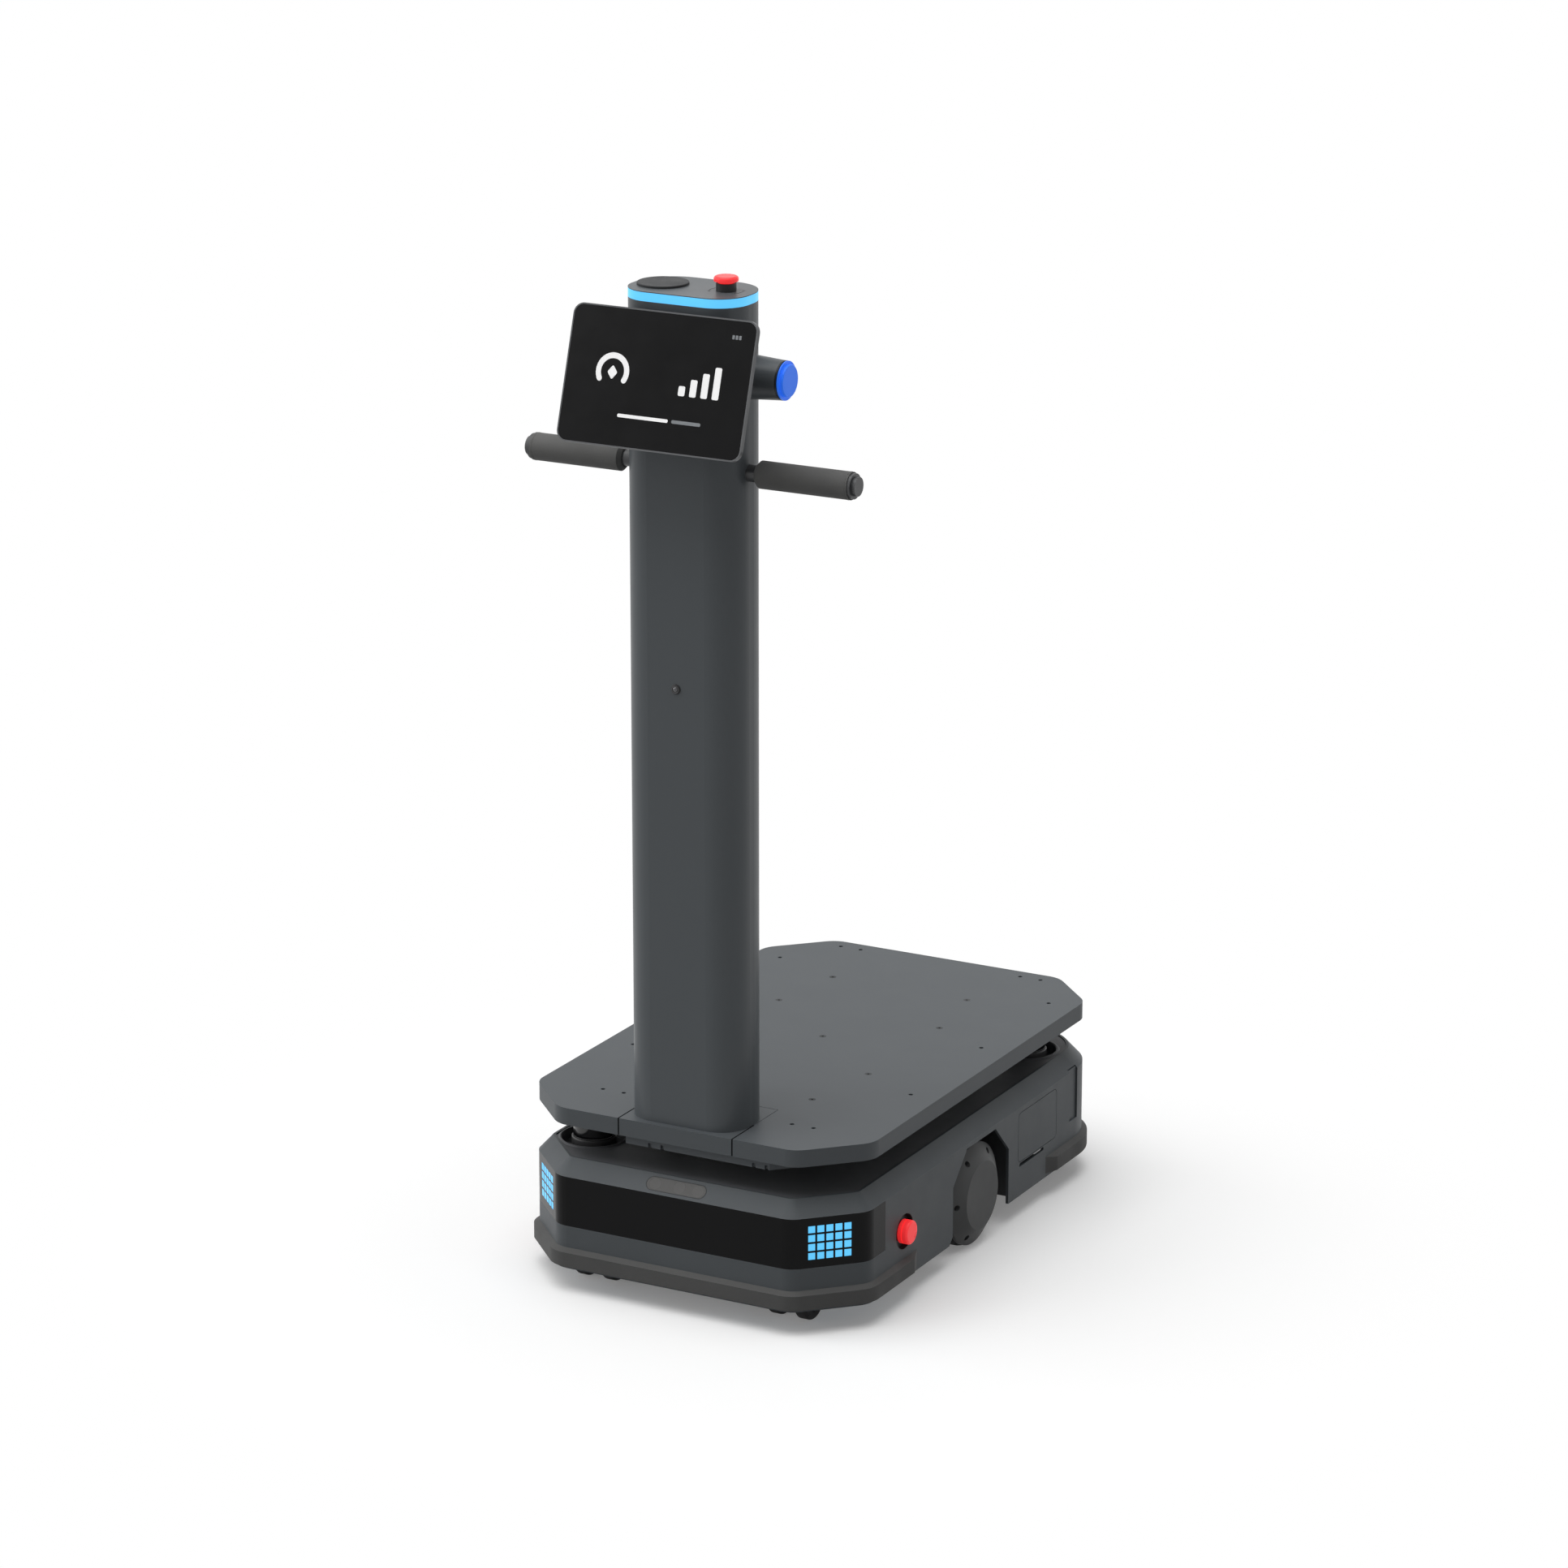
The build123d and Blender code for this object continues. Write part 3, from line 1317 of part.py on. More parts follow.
with BuildPart() as screen_bracket:
    with BuildSketch(Plane.YZ):
        with BuildLine():
            Polyline(
                (screen_back_y(bracket_low), bracket_low),
                (screen_back_y(bracket_high), bracket_high),
                (column_y, bracket_high),
                (column_y, bracket_low),
                close=True,
            )
        make_face()
    extrude(amount=bracket_width / 2, both=True)
    add(column_prism(bracket_low, bracket_high), mode=Mode.SUBTRACT)
save(screen_bracket, "screen_bracket")

# Handle bar through the column, with a grip and an end cap on each side
with BuildPart() as handle_bar:
    with BuildSketch(Plane.YZ.offset(-grip_end)):
        with Locations((handle_y, handle_z)):
            Circle(handle_bar_radius)
    extrude(amount=2 * grip_end)
save(handle_bar, "handle_bar")

for which, side in (("left", -1), ("right", 1)):
    with BuildPart() as grip:
        with BuildSketch(Plane.YZ.offset(side * grip_start)):
            with Locations((handle_y, handle_z)):
                Circle(grip_radius)
        extrude(amount=side * (grip_end - grip_start))
        inner_edge = grip.edges().sort_by(Axis.X)[0 if side > 0 else -1]
        chamfer(inner_edge, length=grip_chamfer)
        with BuildSketch(Plane.YZ.offset(side * grip_start)):
            with Locations((handle_y, handle_z)):
                Circle(handle_bar_radius + running)
        extrude(amount=side * (grip_end - grip_start), mode=Mode.SUBTRACT)
    save(grip, f"grip_{which}")

with BuildPart() as grip_end_caps:
    for side in (-1, 1):
        with BuildSketch(Plane.YZ.offset(side * grip_end)):
            with Locations((handle_y, handle_z)):
                Circle(grip_cap_radius)
        extrude(amount=side * grip_cap_thick)
        with BuildSketch(Plane.YZ.offset(side * grip_end)):
            with Locations((handle_y, handle_z)):
                Circle(grip_knob_radius)
        extrude(amount=side * (grip_knob_end - grip_end))
save(grip_end_caps, "grip_end_caps")

# Call button: pod on the column's side, bezel ring and button
bezel_end = pod_end + bezel_thick
flange_start = bezel_end + button_gap
button_bore = button_stem_length + button_travel - button_gap + seam

with BuildPart() as button_pod:
    with BuildSketch(Plane.YZ.offset(pod_start)):
        with Locations((handle_y, pod_z)):
            Circle(pod_root_radius)
    with BuildSketch(Plane.YZ.offset(pod_end)):
        with Locations((handle_y, pod_z)):
            Circle(pod_end_radius)
    loft(ruled=True)
    add(column_prism(pod_z - 2 * pod_root_radius, pod_z + 2 * pod_root_radius), mode=Mode.SUBTRACT)
    with BuildSketch(Plane.YZ.offset(bezel_end)):
        with Locations((handle_y, pod_z)):
            Circle(button_stem_radius + running)
    extrude(amount=-button_bore, mode=Mode.SUBTRACT)
save(button_pod, "button_pod")

with BuildPart() as button_bezel:
    with BuildSketch(Plane.YZ.offset(pod_end)):
        with Locations((handle_y, pod_z)):
            Circle(pod_end_radius)
            Circle(button_stem_radius + running, mode=Mode.SUBTRACT)
    extrude(amount=bezel_thick)
save(button_bezel, "button_bezel")

with BuildPart() as blue_button:
    with BuildSketch(Plane.YZ.offset(flange_start)):
        with Locations((handle_y, pod_z)):
            Circle(button_flange_radius)
    extrude(amount=button_flange_thick)
    with BuildSketch(Plane.YZ.offset(flange_start)):
        with Locations((handle_y, pod_z)):
            Circle(button_face_radius)
    extrude(amount=button_flange_thick + button_face_thick)
    fillet(blue_button.edges().group_by(Axis.X)[-1], radius=button_round)
    with BuildSketch(Plane.YZ.offset(flange_start)):
        with Locations((handle_y, pod_z)):
            Circle(button_stem_radius)
    extrude(amount=-button_stem_length)
save(blue_button, "blue_button")
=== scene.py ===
import math

import bmesh
import bpy
from mathutils import Matrix, Vector


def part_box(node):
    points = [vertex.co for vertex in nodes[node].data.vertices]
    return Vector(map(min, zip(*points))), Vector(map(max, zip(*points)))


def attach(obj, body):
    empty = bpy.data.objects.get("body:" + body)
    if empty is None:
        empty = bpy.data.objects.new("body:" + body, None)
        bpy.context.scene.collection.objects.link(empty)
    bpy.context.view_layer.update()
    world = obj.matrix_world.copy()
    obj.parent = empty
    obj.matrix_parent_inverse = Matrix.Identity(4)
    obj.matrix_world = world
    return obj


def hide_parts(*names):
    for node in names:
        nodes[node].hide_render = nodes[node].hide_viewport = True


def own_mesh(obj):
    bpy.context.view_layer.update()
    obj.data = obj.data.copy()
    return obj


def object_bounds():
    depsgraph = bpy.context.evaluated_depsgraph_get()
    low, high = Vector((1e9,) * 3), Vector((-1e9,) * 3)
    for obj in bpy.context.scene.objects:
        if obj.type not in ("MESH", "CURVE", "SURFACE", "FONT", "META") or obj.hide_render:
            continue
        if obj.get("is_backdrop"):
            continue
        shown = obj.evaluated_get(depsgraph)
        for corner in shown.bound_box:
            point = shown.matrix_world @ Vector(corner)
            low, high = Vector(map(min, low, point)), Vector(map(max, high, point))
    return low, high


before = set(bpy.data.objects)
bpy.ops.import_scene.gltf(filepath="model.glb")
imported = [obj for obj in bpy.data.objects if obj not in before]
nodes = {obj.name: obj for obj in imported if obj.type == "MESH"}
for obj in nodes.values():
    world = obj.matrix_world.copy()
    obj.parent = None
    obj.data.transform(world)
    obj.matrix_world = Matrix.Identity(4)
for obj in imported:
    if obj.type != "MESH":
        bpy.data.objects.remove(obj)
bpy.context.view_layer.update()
scene = bpy.context.scene
MM = 0.001


# Camera, at the photograph's place and angle

camera_data = bpy.data.cameras.new("camera")
camera_data.lens = 128.94
camera_data.sensor_width = 36.0
camera_data.clip_end = 100.0
camera = bpy.data.objects.new("camera", camera_data)
camera.location = (3.2712, -6.1572, 2.7044)
camera.rotation_euler = (math.radians(90 - 16.757), 0, math.radians(28.24))
scene.collection.objects.link(camera)
scene.camera = camera


# Materials: every finish comes from one node recipe, with its own numbers

class Recipe:
    """Builds one node material: mottled colour, fine grain, lighter edges (wear, and on the front fascia a
    painted highlight) and varied roughness.
    """

    def __init__(self, name):
        self.material = bpy.data.materials.new(name)
        self.material.use_nodes = True
        self.tree = self.material.node_tree
        self.tree.nodes.clear()
        self.output = self.add("ShaderNodeOutputMaterial")
        self.shader = self.add("ShaderNodeBsdfPrincipled")
        self.link(self.shader.outputs["BSDF"], self.output.inputs["Surface"])
        self.place = self.add("ShaderNodeTexCoord").outputs["Object"]

    def add(self, kind, **settings):
        node = self.tree.nodes.new(kind)
        for key, value in settings.items():
            setattr(node, key, value)
        return node

    def link(self, a, b):
        self.tree.links.new(a, b)

    def noise(self, scale, detail=3.0, roughness=0.55):
        node = self.add("ShaderNodeTexNoise")
        node.inputs["Scale"].default_value = scale
        node.inputs["Detail"].default_value = detail
        node.inputs["Roughness"].default_value = roughness
        self.link(self.place, node.inputs["Vector"])
        return node.outputs["Fac"]

    def span(self, value, low, high, to_low, to_high):
        node = self.add("ShaderNodeMapRange")
        self.link(value, node.inputs["Value"])
        for key, number in (("From Min", low), ("From Max", high), ("To Min", to_low), ("To Max", to_high)):
            node.inputs[key].default_value = number
        return node.outputs["Result"]

    def times(self, a, b):
        node = self.add("ShaderNodeMath", operation="MULTIPLY", use_clamp=True)
        self.link(a, node.inputs[0])
        self.link(b, node.inputs[1])
        return node.outputs["Value"]

    def blend(self, factor, a, b):
        node = self.add("ShaderNodeMix", data_type="RGBA")
        self.link(factor, node.inputs["Factor"])
        for socket, value in ((node.inputs[6], a), (node.inputs[7], b)):
            if isinstance(value, tuple):
                socket.default_value = (*value, 1.0)
            else:
                self.link(value, socket)
        return node.outputs[2]

    def edges(self, radius):
        """1 along convex and concave edges, 0 on open faces."""
        bevel = self.add("ShaderNodeBevel", samples=4)
        bevel.inputs["Radius"].default_value = radius
        geometry = self.add("ShaderNodeNewGeometry")
        dot = self.add("ShaderNodeVectorMath", operation="DOT_PRODUCT")
        self.link(bevel.outputs["Normal"], dot.inputs[0])
        self.link(geometry.outputs["Normal"], dot.inputs[1])
        return self.span(dot.outputs["Value"], 0.995, 0.9, 0.0, 1.0)


def tint(colour, factor):
    """The colour made lighter or darker by the factor."""
    return tuple(min(1.0, c * factor) for c in colour)


def finish(name, colour, rough, mottle=0.08, patch=9.0, grain=900.0, bump=0.12, depth=0.00015,
           edge_amount=0.35, edge_tint=1.9, edge_radius=0.0007, metallic=0.0, specular=0.5, coat=0.0,
           coat_rough=0.1, glow=0.0, glow_colour=None, clear=0.0, spread=0.08, sheen=0.0):
    """One finish; its edges turn lighter by a given factor and amount: edge wear on most finishes, a
    painted highlight along the front fascia's edges. Radii are in metres.
    """
    recipe = Recipe(name)
    shader = recipe.shader
    shader.inputs["Metallic"].default_value = metallic
    shader.inputs["Specular IOR Level"].default_value = specular
    shader.inputs["Coat Weight"].default_value = coat
    shader.inputs["Coat Roughness"].default_value = coat_rough
    shader.inputs["Transmission Weight"].default_value = clear
    shader.inputs["Sheen Weight"].default_value = sheen
    patches = recipe.noise(patch, 4.0)
    specks = recipe.noise(grain, 2.0, 0.6)
    shade = recipe.span(patches, 0.3, 0.7, 0.0, 1.0)
    body = recipe.blend(shade, tint(colour, 1 - mottle), tint(colour, 1 + mottle))
    fleck = recipe.span(specks, 0.35, 0.65, 0.0, 0.35)
    body = recipe.blend(fleck, body, tint(colour, 1 - 1.5 * mottle))
    if edge_amount > 0:
        broken = recipe.span(recipe.noise(160.0, 5.0, 0.7), 0.42, 0.66, 0.15, edge_amount)
        # Lighter edges: wear on most finishes; on the front fascia they are a painted highlight.
        edge_wear_and_highlight = recipe.times(recipe.edges(edge_radius), broken)
        body = recipe.blend(edge_wear_and_highlight, body, tint(colour, edge_tint))
    recipe.link(body, shader.inputs["Base Color"])
    gloss = recipe.span(recipe.noise(patch * 3, 5.0, 0.6), 0.3, 0.7,
                        max(0.02, rough - spread), min(1.0, rough + spread))
    recipe.link(gloss, shader.inputs["Roughness"])
    relief = recipe.add("ShaderNodeBump")
    relief.inputs["Strength"].default_value = bump
    relief.inputs["Distance"].default_value = depth
    recipe.link(specks, relief.inputs["Height"])
    recipe.link(relief.outputs["Normal"], shader.inputs["Normal"])
    if glow > 0:
        lit = recipe.blend(shade, tint(glow_colour, 0.96), glow_colour)
        recipe.link(lit, shader.inputs["Emission Color"])
        shader.inputs["Emission Strength"].default_value = glow
    return recipe.material


PAINT = (0.080, 0.089, 0.096)
SKY = (0.13, 0.6, 1.0)

FINISHES = {
    "frame_steel": finish("frame_steel", (0.05, 0.052, 0.055), 0.5, edge_amount=0.5),
    "body_grey": finish("body_grey", PAINT, 0.48, mottle=0.025, grain=1500.0, bump=0.16, specular=0.22,
                        spread=0.04),
    "roof_dark": finish("roof_dark", (0.13, 0.134, 0.142), 0.5, mottle=0.06, grain=1300.0,
                        edge_tint=1.8, specular=0.25),
    # The fascia's edges are made five times lighter: a painted highlight along its gloss black edges.
    "fascia_black": finish("fascia_black", (0.005, 0.005, 0.0055), 0.14, mottle=0.12, bump=0.02,
                           edge_tint=5.0, specular=0.1, spread=0.04),
    "led_blue": finish("led_blue", (0.06, 0.32, 0.6), 0.4, mottle=0.05, edge_amount=0.0, glow=0.82,
                       glow_colour=SKY, specular=0.3),
    "window_grey": finish("window_grey", (0.078, 0.077, 0.074), 0.16, mottle=0.03, bump=0.02,
                          clear=0.15, edge_amount=0.0, specular=0.25, spread=0.03),
    "black_plastic": finish("black_plastic", (0.014, 0.014, 0.015), 0.45, mottle=0.1, edge_tint=2.6,
                            specular=0.35),
    "bumper_rubber": finish("bumper_rubber", (0.09, 0.09, 0.089), 0.7, mottle=0.04, grain=700.0,
                            bump=0.25, edge_tint=1.5, specular=0.2, sheen=0.03),
    "lidar_housing": finish("lidar_housing", (0.06, 0.06, 0.062), 0.45, mottle=0.08),
    "lidar_window": finish("lidar_window", (0.008, 0.008, 0.009), 0.12, mottle=0.15, bump=0.015,
                           edge_amount=0.2, coat=0.3, specular=0.5, spread=0.03),
    "deck_grey": finish("deck_grey", PAINT, 0.5, mottle=0.012, patch=5.0, grain=1500.0, bump=0.18,
                        specular=0.25, spread=0.012),
    "deck_screw": finish("deck_screw", (0.034, 0.036, 0.038), 0.5, mottle=0.05, edge_tint=1.6,
                         edge_radius=0.0003, specular=0.2),
    "screw_steel": finish("screw_steel", (0.09, 0.09, 0.093), 0.38, metallic=0.85, edge_tint=2.4,
                          edge_radius=0.0003),
    "column_grey": finish("column_grey", tint(PAINT, 1.12), 0.38, mottle=0.02, patch=4.0, grain=1500.0,
                          bump=0.12, specular=0.25, spread=0.03),
    "disc_dark": finish("disc_dark", (0.034, 0.036, 0.038), 0.5, mottle=0.04, grain=1100.0, specular=0.15),
    "screen_shell": finish("screen_shell", (0.13, 0.134, 0.14), 0.38, mottle=0.04, grain=1200.0,
                           specular=0.3),
    "screen_glass": finish("screen_glass", (0.006, 0.006, 0.0065), 0.1, mottle=0.1, bump=0.01,
                           edge_amount=0.15, edge_tint=4.0, specular=0.12, spread=0.03),
    "bar_dark": finish("bar_dark", (0.05, 0.052, 0.055), 0.4, mottle=0.07, grain=1100.0),
    "grip_rubber": finish("grip_rubber", (0.125, 0.125, 0.122), 0.78, mottle=0.1, grain=520.0,
                          bump=0.45, depth=0.0003, edge_tint=1.4, specular=0.3, sheen=0.1),
    "battery_case": finish("battery_case", (0.045, 0.047, 0.05), 0.48, edge_amount=0.5),
    "spring_steel": finish("spring_steel", (0.42, 0.42, 0.43), 0.32, metallic=1.0, edge_amount=0.0,
                           grain=1800.0),
    "hub_aluminium": finish("hub_aluminium", (0.36, 0.36, 0.37), 0.42, metallic=1.0, grain=700.0,
                            bump=0.2, edge_tint=1.5),
    "tyre_black": finish("tyre_black", (0.03, 0.03, 0.031), 0.8, mottle=0.14, grain=450.0, bump=0.35,
                         depth=0.0003, edge_tint=2.0, specular=0.3),
    "cover_grey": finish("cover_grey", (0.075, 0.077, 0.078), 0.5, mottle=0.03, grain=1300.0,
                         bump=0.14, specular=0.22, spread=0.04),
    "caster_fork": finish("caster_fork", (0.36, 0.36, 0.37), 0.4, metallic=1.0, mottle=0.12,
                          grain=500.0),
    "caster_tread": finish("caster_tread", (0.04, 0.04, 0.041), 0.75, mottle=0.12, grain=450.0,
                           bump=0.3, specular=0.3),
    # The blue button's glow is painted light that brightens its face; there is no lamp in it.
    "button_blue": finish("button_blue", (0.03, 0.15, 0.75), 0.35, mottle=0.04, bump=0.03, specular=0.25,
                          edge_tint=1.5, edge_amount=0.25, glow=0.4, glow_colour=(0.03, 0.2, 1.0)),
    # The red stop caps' glow is painted light that brightens them; there is no lamp in them.
    "stop_red": finish("stop_red", (0.85, 0.04, 0.045), 0.32, mottle=0.04, bump=0.03, specular=0.3,
                       edge_amount=0.25, edge_tint=1.2, glow=0.5, glow_colour=(1.0, 0.03, 0.034)),
}
GLASS = finish("lens_glass", (0.012, 0.012, 0.02), 0.06, mottle=0.2, bump=0.0, edge_amount=0.0, coat=1.0,
               coat_rough=0.03, spread=0.02)
# Near-black for lines that paint the shade in narrow seams.
SEAM_SHADE_BLACK = finish("painted_seam_shade", (0.004, 0.004, 0.0045), 0.8, mottle=0.1, edge_amount=0.0, specular=0.05)
LENS_VEIL = finish("lens_veil", (0.09, 0.089, 0.086), 0.14, mottle=0.06, bump=0.01, edge_amount=0.0,
                   specular=0.25, spread=0.03)
PRINT_WHITE = finish("screen_white", (0.8, 0.8, 0.8), 0.3, mottle=0.01, bump=0.01, edge_amount=0.0,
                     glow=0.35, glow_colour=(1.0, 1.0, 1.0), specular=0.2)
PRINT_DIM = finish("screen_dim", (0.2, 0.21, 0.22), 0.3, mottle=0.02, bump=0.01, edge_amount=0.0,
                   glow=0.1, glow_colour=(0.6, 0.65, 0.7), specular=0.2)
PRINT_DARK = finish("cap_print", (0.03, 0.031, 0.033), 0.5, mottle=0.1, edge_amount=0.0)


def dress(slot, *names):
    """Gives the CAD nodes of these names that finish."""
    for name in names:
        node = nodes[name]
        for entry in node.material_slots:
            entry.material = FINISHES[slot]


SIDES = ("left", "right")
CORNERS = ("front_left", "front_right", "rear_left", "rear_right")
dress("frame_steel", "chassis_frame", "deck_frame", "suspension_arm_left", "suspension_arm_right")
dress("body_grey", "body_shell", "battery_door")
dress("roof_dark", "roof_cover")
dress("fascia_black", "front_fascia")
dress("led_blue", "led_matrices", "light_band")
dress("window_grey", "camera_window")
dress("black_plastic", "depth_camera", "controller_box", "button_bezel", "top_estop_collar",
      "right_estop_collar", "left_estop_collar", "column_camera")
dress("bumper_rubber", "front_bumper", "rear_bumper")
dress("lidar_housing", "lidar_front_base", "lidar_rear_base")
dress("lidar_window", "lidar_front_window", "lidar_rear_window")
dress("deck_grey", "load_deck", "column_foot")
dress("deck_screw", "deck_screws")
dress("column_grey", "column_tube", "column_cap", "button_pod", "screen_bracket")
dress("disc_dark", "top_disc")
dress("screen_shell", "screen_housing")
dress("screen_glass", "screen_glass")
dress("bar_dark", "handle_bar", "grip_end_caps")
dress("grip_rubber", "grip_left", "grip_right")
dress("battery_case", "battery_pack")
dress("spring_steel", "suspension_spring_left", "suspension_spring_right")
dress("hub_aluminium", "hub_motor_left", "hub_motor_right")
dress("tyre_black", "drive_tyre_left", "drive_tyre_right")
dress("cover_grey", "wheel_cover_left", "wheel_cover_right")
for corner in CORNERS:
    dress("caster_fork", f"caster_fork_{corner}")
    dress("caster_tread", f"caster_wheels_{corner}")
dress("button_blue", "blue_button")
dress("stop_red", "top_estop_cap", "right_estop_cap", "left_estop_cap")


# Mesh tools. Sizes are in millimetres here and become metres in piece().

def piece(name, bm, body, material, sharp=35.0):
    """Makes the object, rides it on its body and names its slot; sharp is in degrees."""
    bmesh.ops.remove_doubles(bm, verts=bm.verts, dist=1e-4)
    bmesh.ops.recalc_face_normals(bm, faces=bm.faces)
    bmesh.ops.scale(bm, vec=(MM, MM, MM), verts=bm.verts)
    mesh = bpy.data.meshes.new(name)
    bm.to_mesh(mesh)
    bm.free()
    mesh.materials.append(material)
    mesh.shade_smooth()
    mesh.set_sharp_from_angle(angle=math.radians(sharp))
    obj = bpy.data.objects.new(name, mesh)
    scene.collection.objects.link(obj)
    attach(obj, body)
    return obj


def skin(bm, rows, wrap, closed=True):
    """Joins each row of vertices to the next by quads; wrap joins the last row to the first."""
    count = len(rows[0])
    after = rows[1:] + rows[:1] if wrap else rows[1:]
    for a, b in zip(rows, after):
        for i in range(count if closed else count - 1):
            j = (i + 1) % count
            bm.faces.new((a[i], a[j], b[j], b[i]))


def closed_skin(bm, rows):
    """Joins the rows and closes the first and the last one."""
    skin(bm, rows, wrap=False)
    bm.faces.new(rows[0])
    bm.faces.new(rows[-1])


def around(axis):
    """The axis as a unit vector, and two more across it."""
    axis = Vector(axis).normalized()
    across = axis.orthogonal().normalized()
    return axis, across, axis.cross(across)


def turned(bm, profile, origin, axis, steps=64, ring=True):
    """Adds a solid of revolution from a profile of (radius, height) round the axis.

    A ring's profile is a closed loop. Otherwise its two ends become flat faces.
    """
    axis, across, up = around(axis)
    origin = Vector(origin)
    rows = []
    for k in range(steps):
        angle = 2 * math.pi * k / steps
        out = across * math.cos(angle) + up * math.sin(angle)
        rows.append([bm.verts.new(origin + out * r + axis * h) for r, h in profile])
    skin(bm, rows, wrap=True, closed=ring)
    if not ring:
        for end in (0, -1):
            bm.faces.new([row[end] for row in rows])


def rounded(profile, radius, steps=4):
    """Rounds the corners of a closed loop of 2-D points; a corner's own radius is its third value."""
    out = []
    count = len(profile)
    for i, point in enumerate(profile):
        here = Vector(point[:2])
        size = point[2] if len(point) > 2 else radius
        if size <= 0:
            out.append(tuple(here))
            continue
        before = Vector(profile[i - 1][:2]) - here
        after = Vector(profile[(i + 1) % count][:2]) - here
        size = min(size, before.length * 0.49, after.length * 0.49)
        a, c = here + before.normalized() * size, here + after.normalized() * size
        for k in range(steps + 1):
            t = k / steps
            out.append(tuple(a * (1 - t) ** 2 + here * 2 * t * (1 - t) + c * t ** 2))
    return out


def slab(bm, outline, origin, u, v, low, high, edge=0.0):
    """Adds a closed plate: outline is (u, v) points, from low to high along u x v.

    Its upper outline is drawn in by edge.
    """
    origin, u, v = Vector(origin), Vector(u).normalized(), Vector(v).normalized()
    w = u.cross(v)
    centre = sum((Vector(p) for p in outline), Vector((0, 0))) / len(outline)
    levels = [(low, 0.0)]
    if edge > 0:
        levels.append((high - edge, 0.0))
    levels.append((high, edge))
    rows = []
    for h, inset in levels:
        row = []
        for p in outline:
            p = Vector(p)
            reach = (p - centre).length or 1.0
            q = centre + (p - centre) * max(0.0, 1 - inset / reach)
            row.append(bm.verts.new(origin + u * q.x + v * q.y + w * h))
        rows.append(row)
    closed_skin(bm, rows)


def arc_band(radius, width, start, end, steps=36):
    """Outline of a flat arc of that middle radius and width, with round ends."""
    inner, outer = radius - width / 2, radius + width / 2
    angles = [math.radians(start + (end - start) * k / steps) for k in range(steps + 1)]
    points = [(outer * math.cos(a), outer * math.sin(a)) for a in angles]
    points += round_end(radius, width, angles[-1], 0.0)
    points += [(inner * math.cos(a), inner * math.sin(a)) for a in reversed(angles)]
    points += round_end(radius, width, angles[0], math.pi)
    return points


def round_end(radius, width, angle, turn):
    """Half circle that closes an arc's end, from its outer side or, turned by pi, its inner side."""
    centre = Vector((radius * math.cos(angle), radius * math.sin(angle)))
    points = []
    for k in range(1, 6):
        t = angle + turn + math.pi * k / 6
        points.append(tuple(centre + Vector((math.cos(t), math.sin(t))) * width / 2))
    return points


def box_outline(width, height, radius, x=0.0, y=0.0):
    """Outline of a rectangle with round corners, its middle at x, y."""
    w, h = width / 2, height / 2
    loop = rounded([(-w, -h), (w, -h), (w, h), (-w, h)], radius, 6)
    return [(px + x, py + y) for px, py in loop]


def pill_outline(length, height, steps=24):
    """Outline of a bar with half-round ends."""
    radius, reach = height / 2, (length - height) / 2
    turns = [math.pi * k / steps - math.pi / 2 for k in range(steps + 1)]
    right = [(reach + radius * math.cos(t), radius * math.sin(t)) for t in turns]
    left = [(-reach - radius * math.cos(t), -radius * math.sin(t)) for t in turns]
    return right + left


def rim(bm, inner, outer, origin, u, v, low, high):
    """Adds a closed band between two outlines with as many points, from low to high along u x v."""
    origin, u, v = Vector(origin), Vector(u).normalized(), Vector(v).normalized()
    w = u.cross(v)
    rows = []
    for outline, h in ((outer, low), (outer, high), (inner, high), (inner, low)):
        rows.append([bm.verts.new(origin + u * x + v * y + w * h) for x, y in outline])
    skin(bm, rows, wrap=True)


def socket_head(bm, origin, axis, radius, height, key):
    """Adds a low socket screw head with a hexagon recess."""
    axis, across, up = around(axis)
    origin = Vector(origin)
    steps = 24
    rings = [(radius, 0.0, False), (radius, height * 0.7, False), (radius * 0.88, height, False),
             (key * 1.12, height, False), (key, height * 0.9, True), (key, height * 0.35, True)]
    rows = []
    for r, h, hexagon in rings:
        row = []
        for k in range(steps):
            angle = 2 * math.pi * k / steps
            reach = r
            if hexagon:
                reach = r * math.cos(math.pi / 6) / math.cos((angle % (math.pi / 3)) - math.pi / 6)
            row.append(bm.verts.new(origin + (across * math.cos(angle) + up * math.sin(angle)) * reach
                                    + axis * h))
        rows.append(row)
    closed_skin(bm, rows)


def coil(bm, centre, low, high, radius, wire, turns, steps=40, sides=12):
    """Adds a coil of round wire, from low to high round a vertical axis, its ends closed."""
    rows = []
    for k in range(turns * steps + 1):
        angle = 2 * math.pi * k / steps
        out = Vector((math.cos(angle), math.sin(angle), 0))
        middle = Vector(centre) + out * radius + Vector((0, 0, low + (high - low) * k / (turns * steps)))
        row = []
        for i in range(sides):
            t = 2 * math.pi * i / sides
            row.append(bm.verts.new(middle + out * wire * math.cos(t) + Vector((0, 0, wire * math.sin(t)))))
        rows.append(row)
    closed_skin(bm, rows)


# Drive wheels: tyres with a tread, and the screws in the covers' wells

WHEEL_Y, WHEEL_Z, WHEEL_R = 27.0, 71.2, 71.2
TYRE_INNER, TYRE_OUTER = 186.3, 225.7
GROOVE_R = 69.4
GROOVES = ((197.6, 198.0, 200.0, 200.4), (211.6, 212.0, 214.0, 214.4))
TREAD_MIDDLE = (204.9, 207.1)
TREAD_STEPS = 240
CUT_DEPTH, CUT_PITCH = 1.5, 8
SCREW_X, SCREW_RING, SCREWS = 228.6, 59, 6


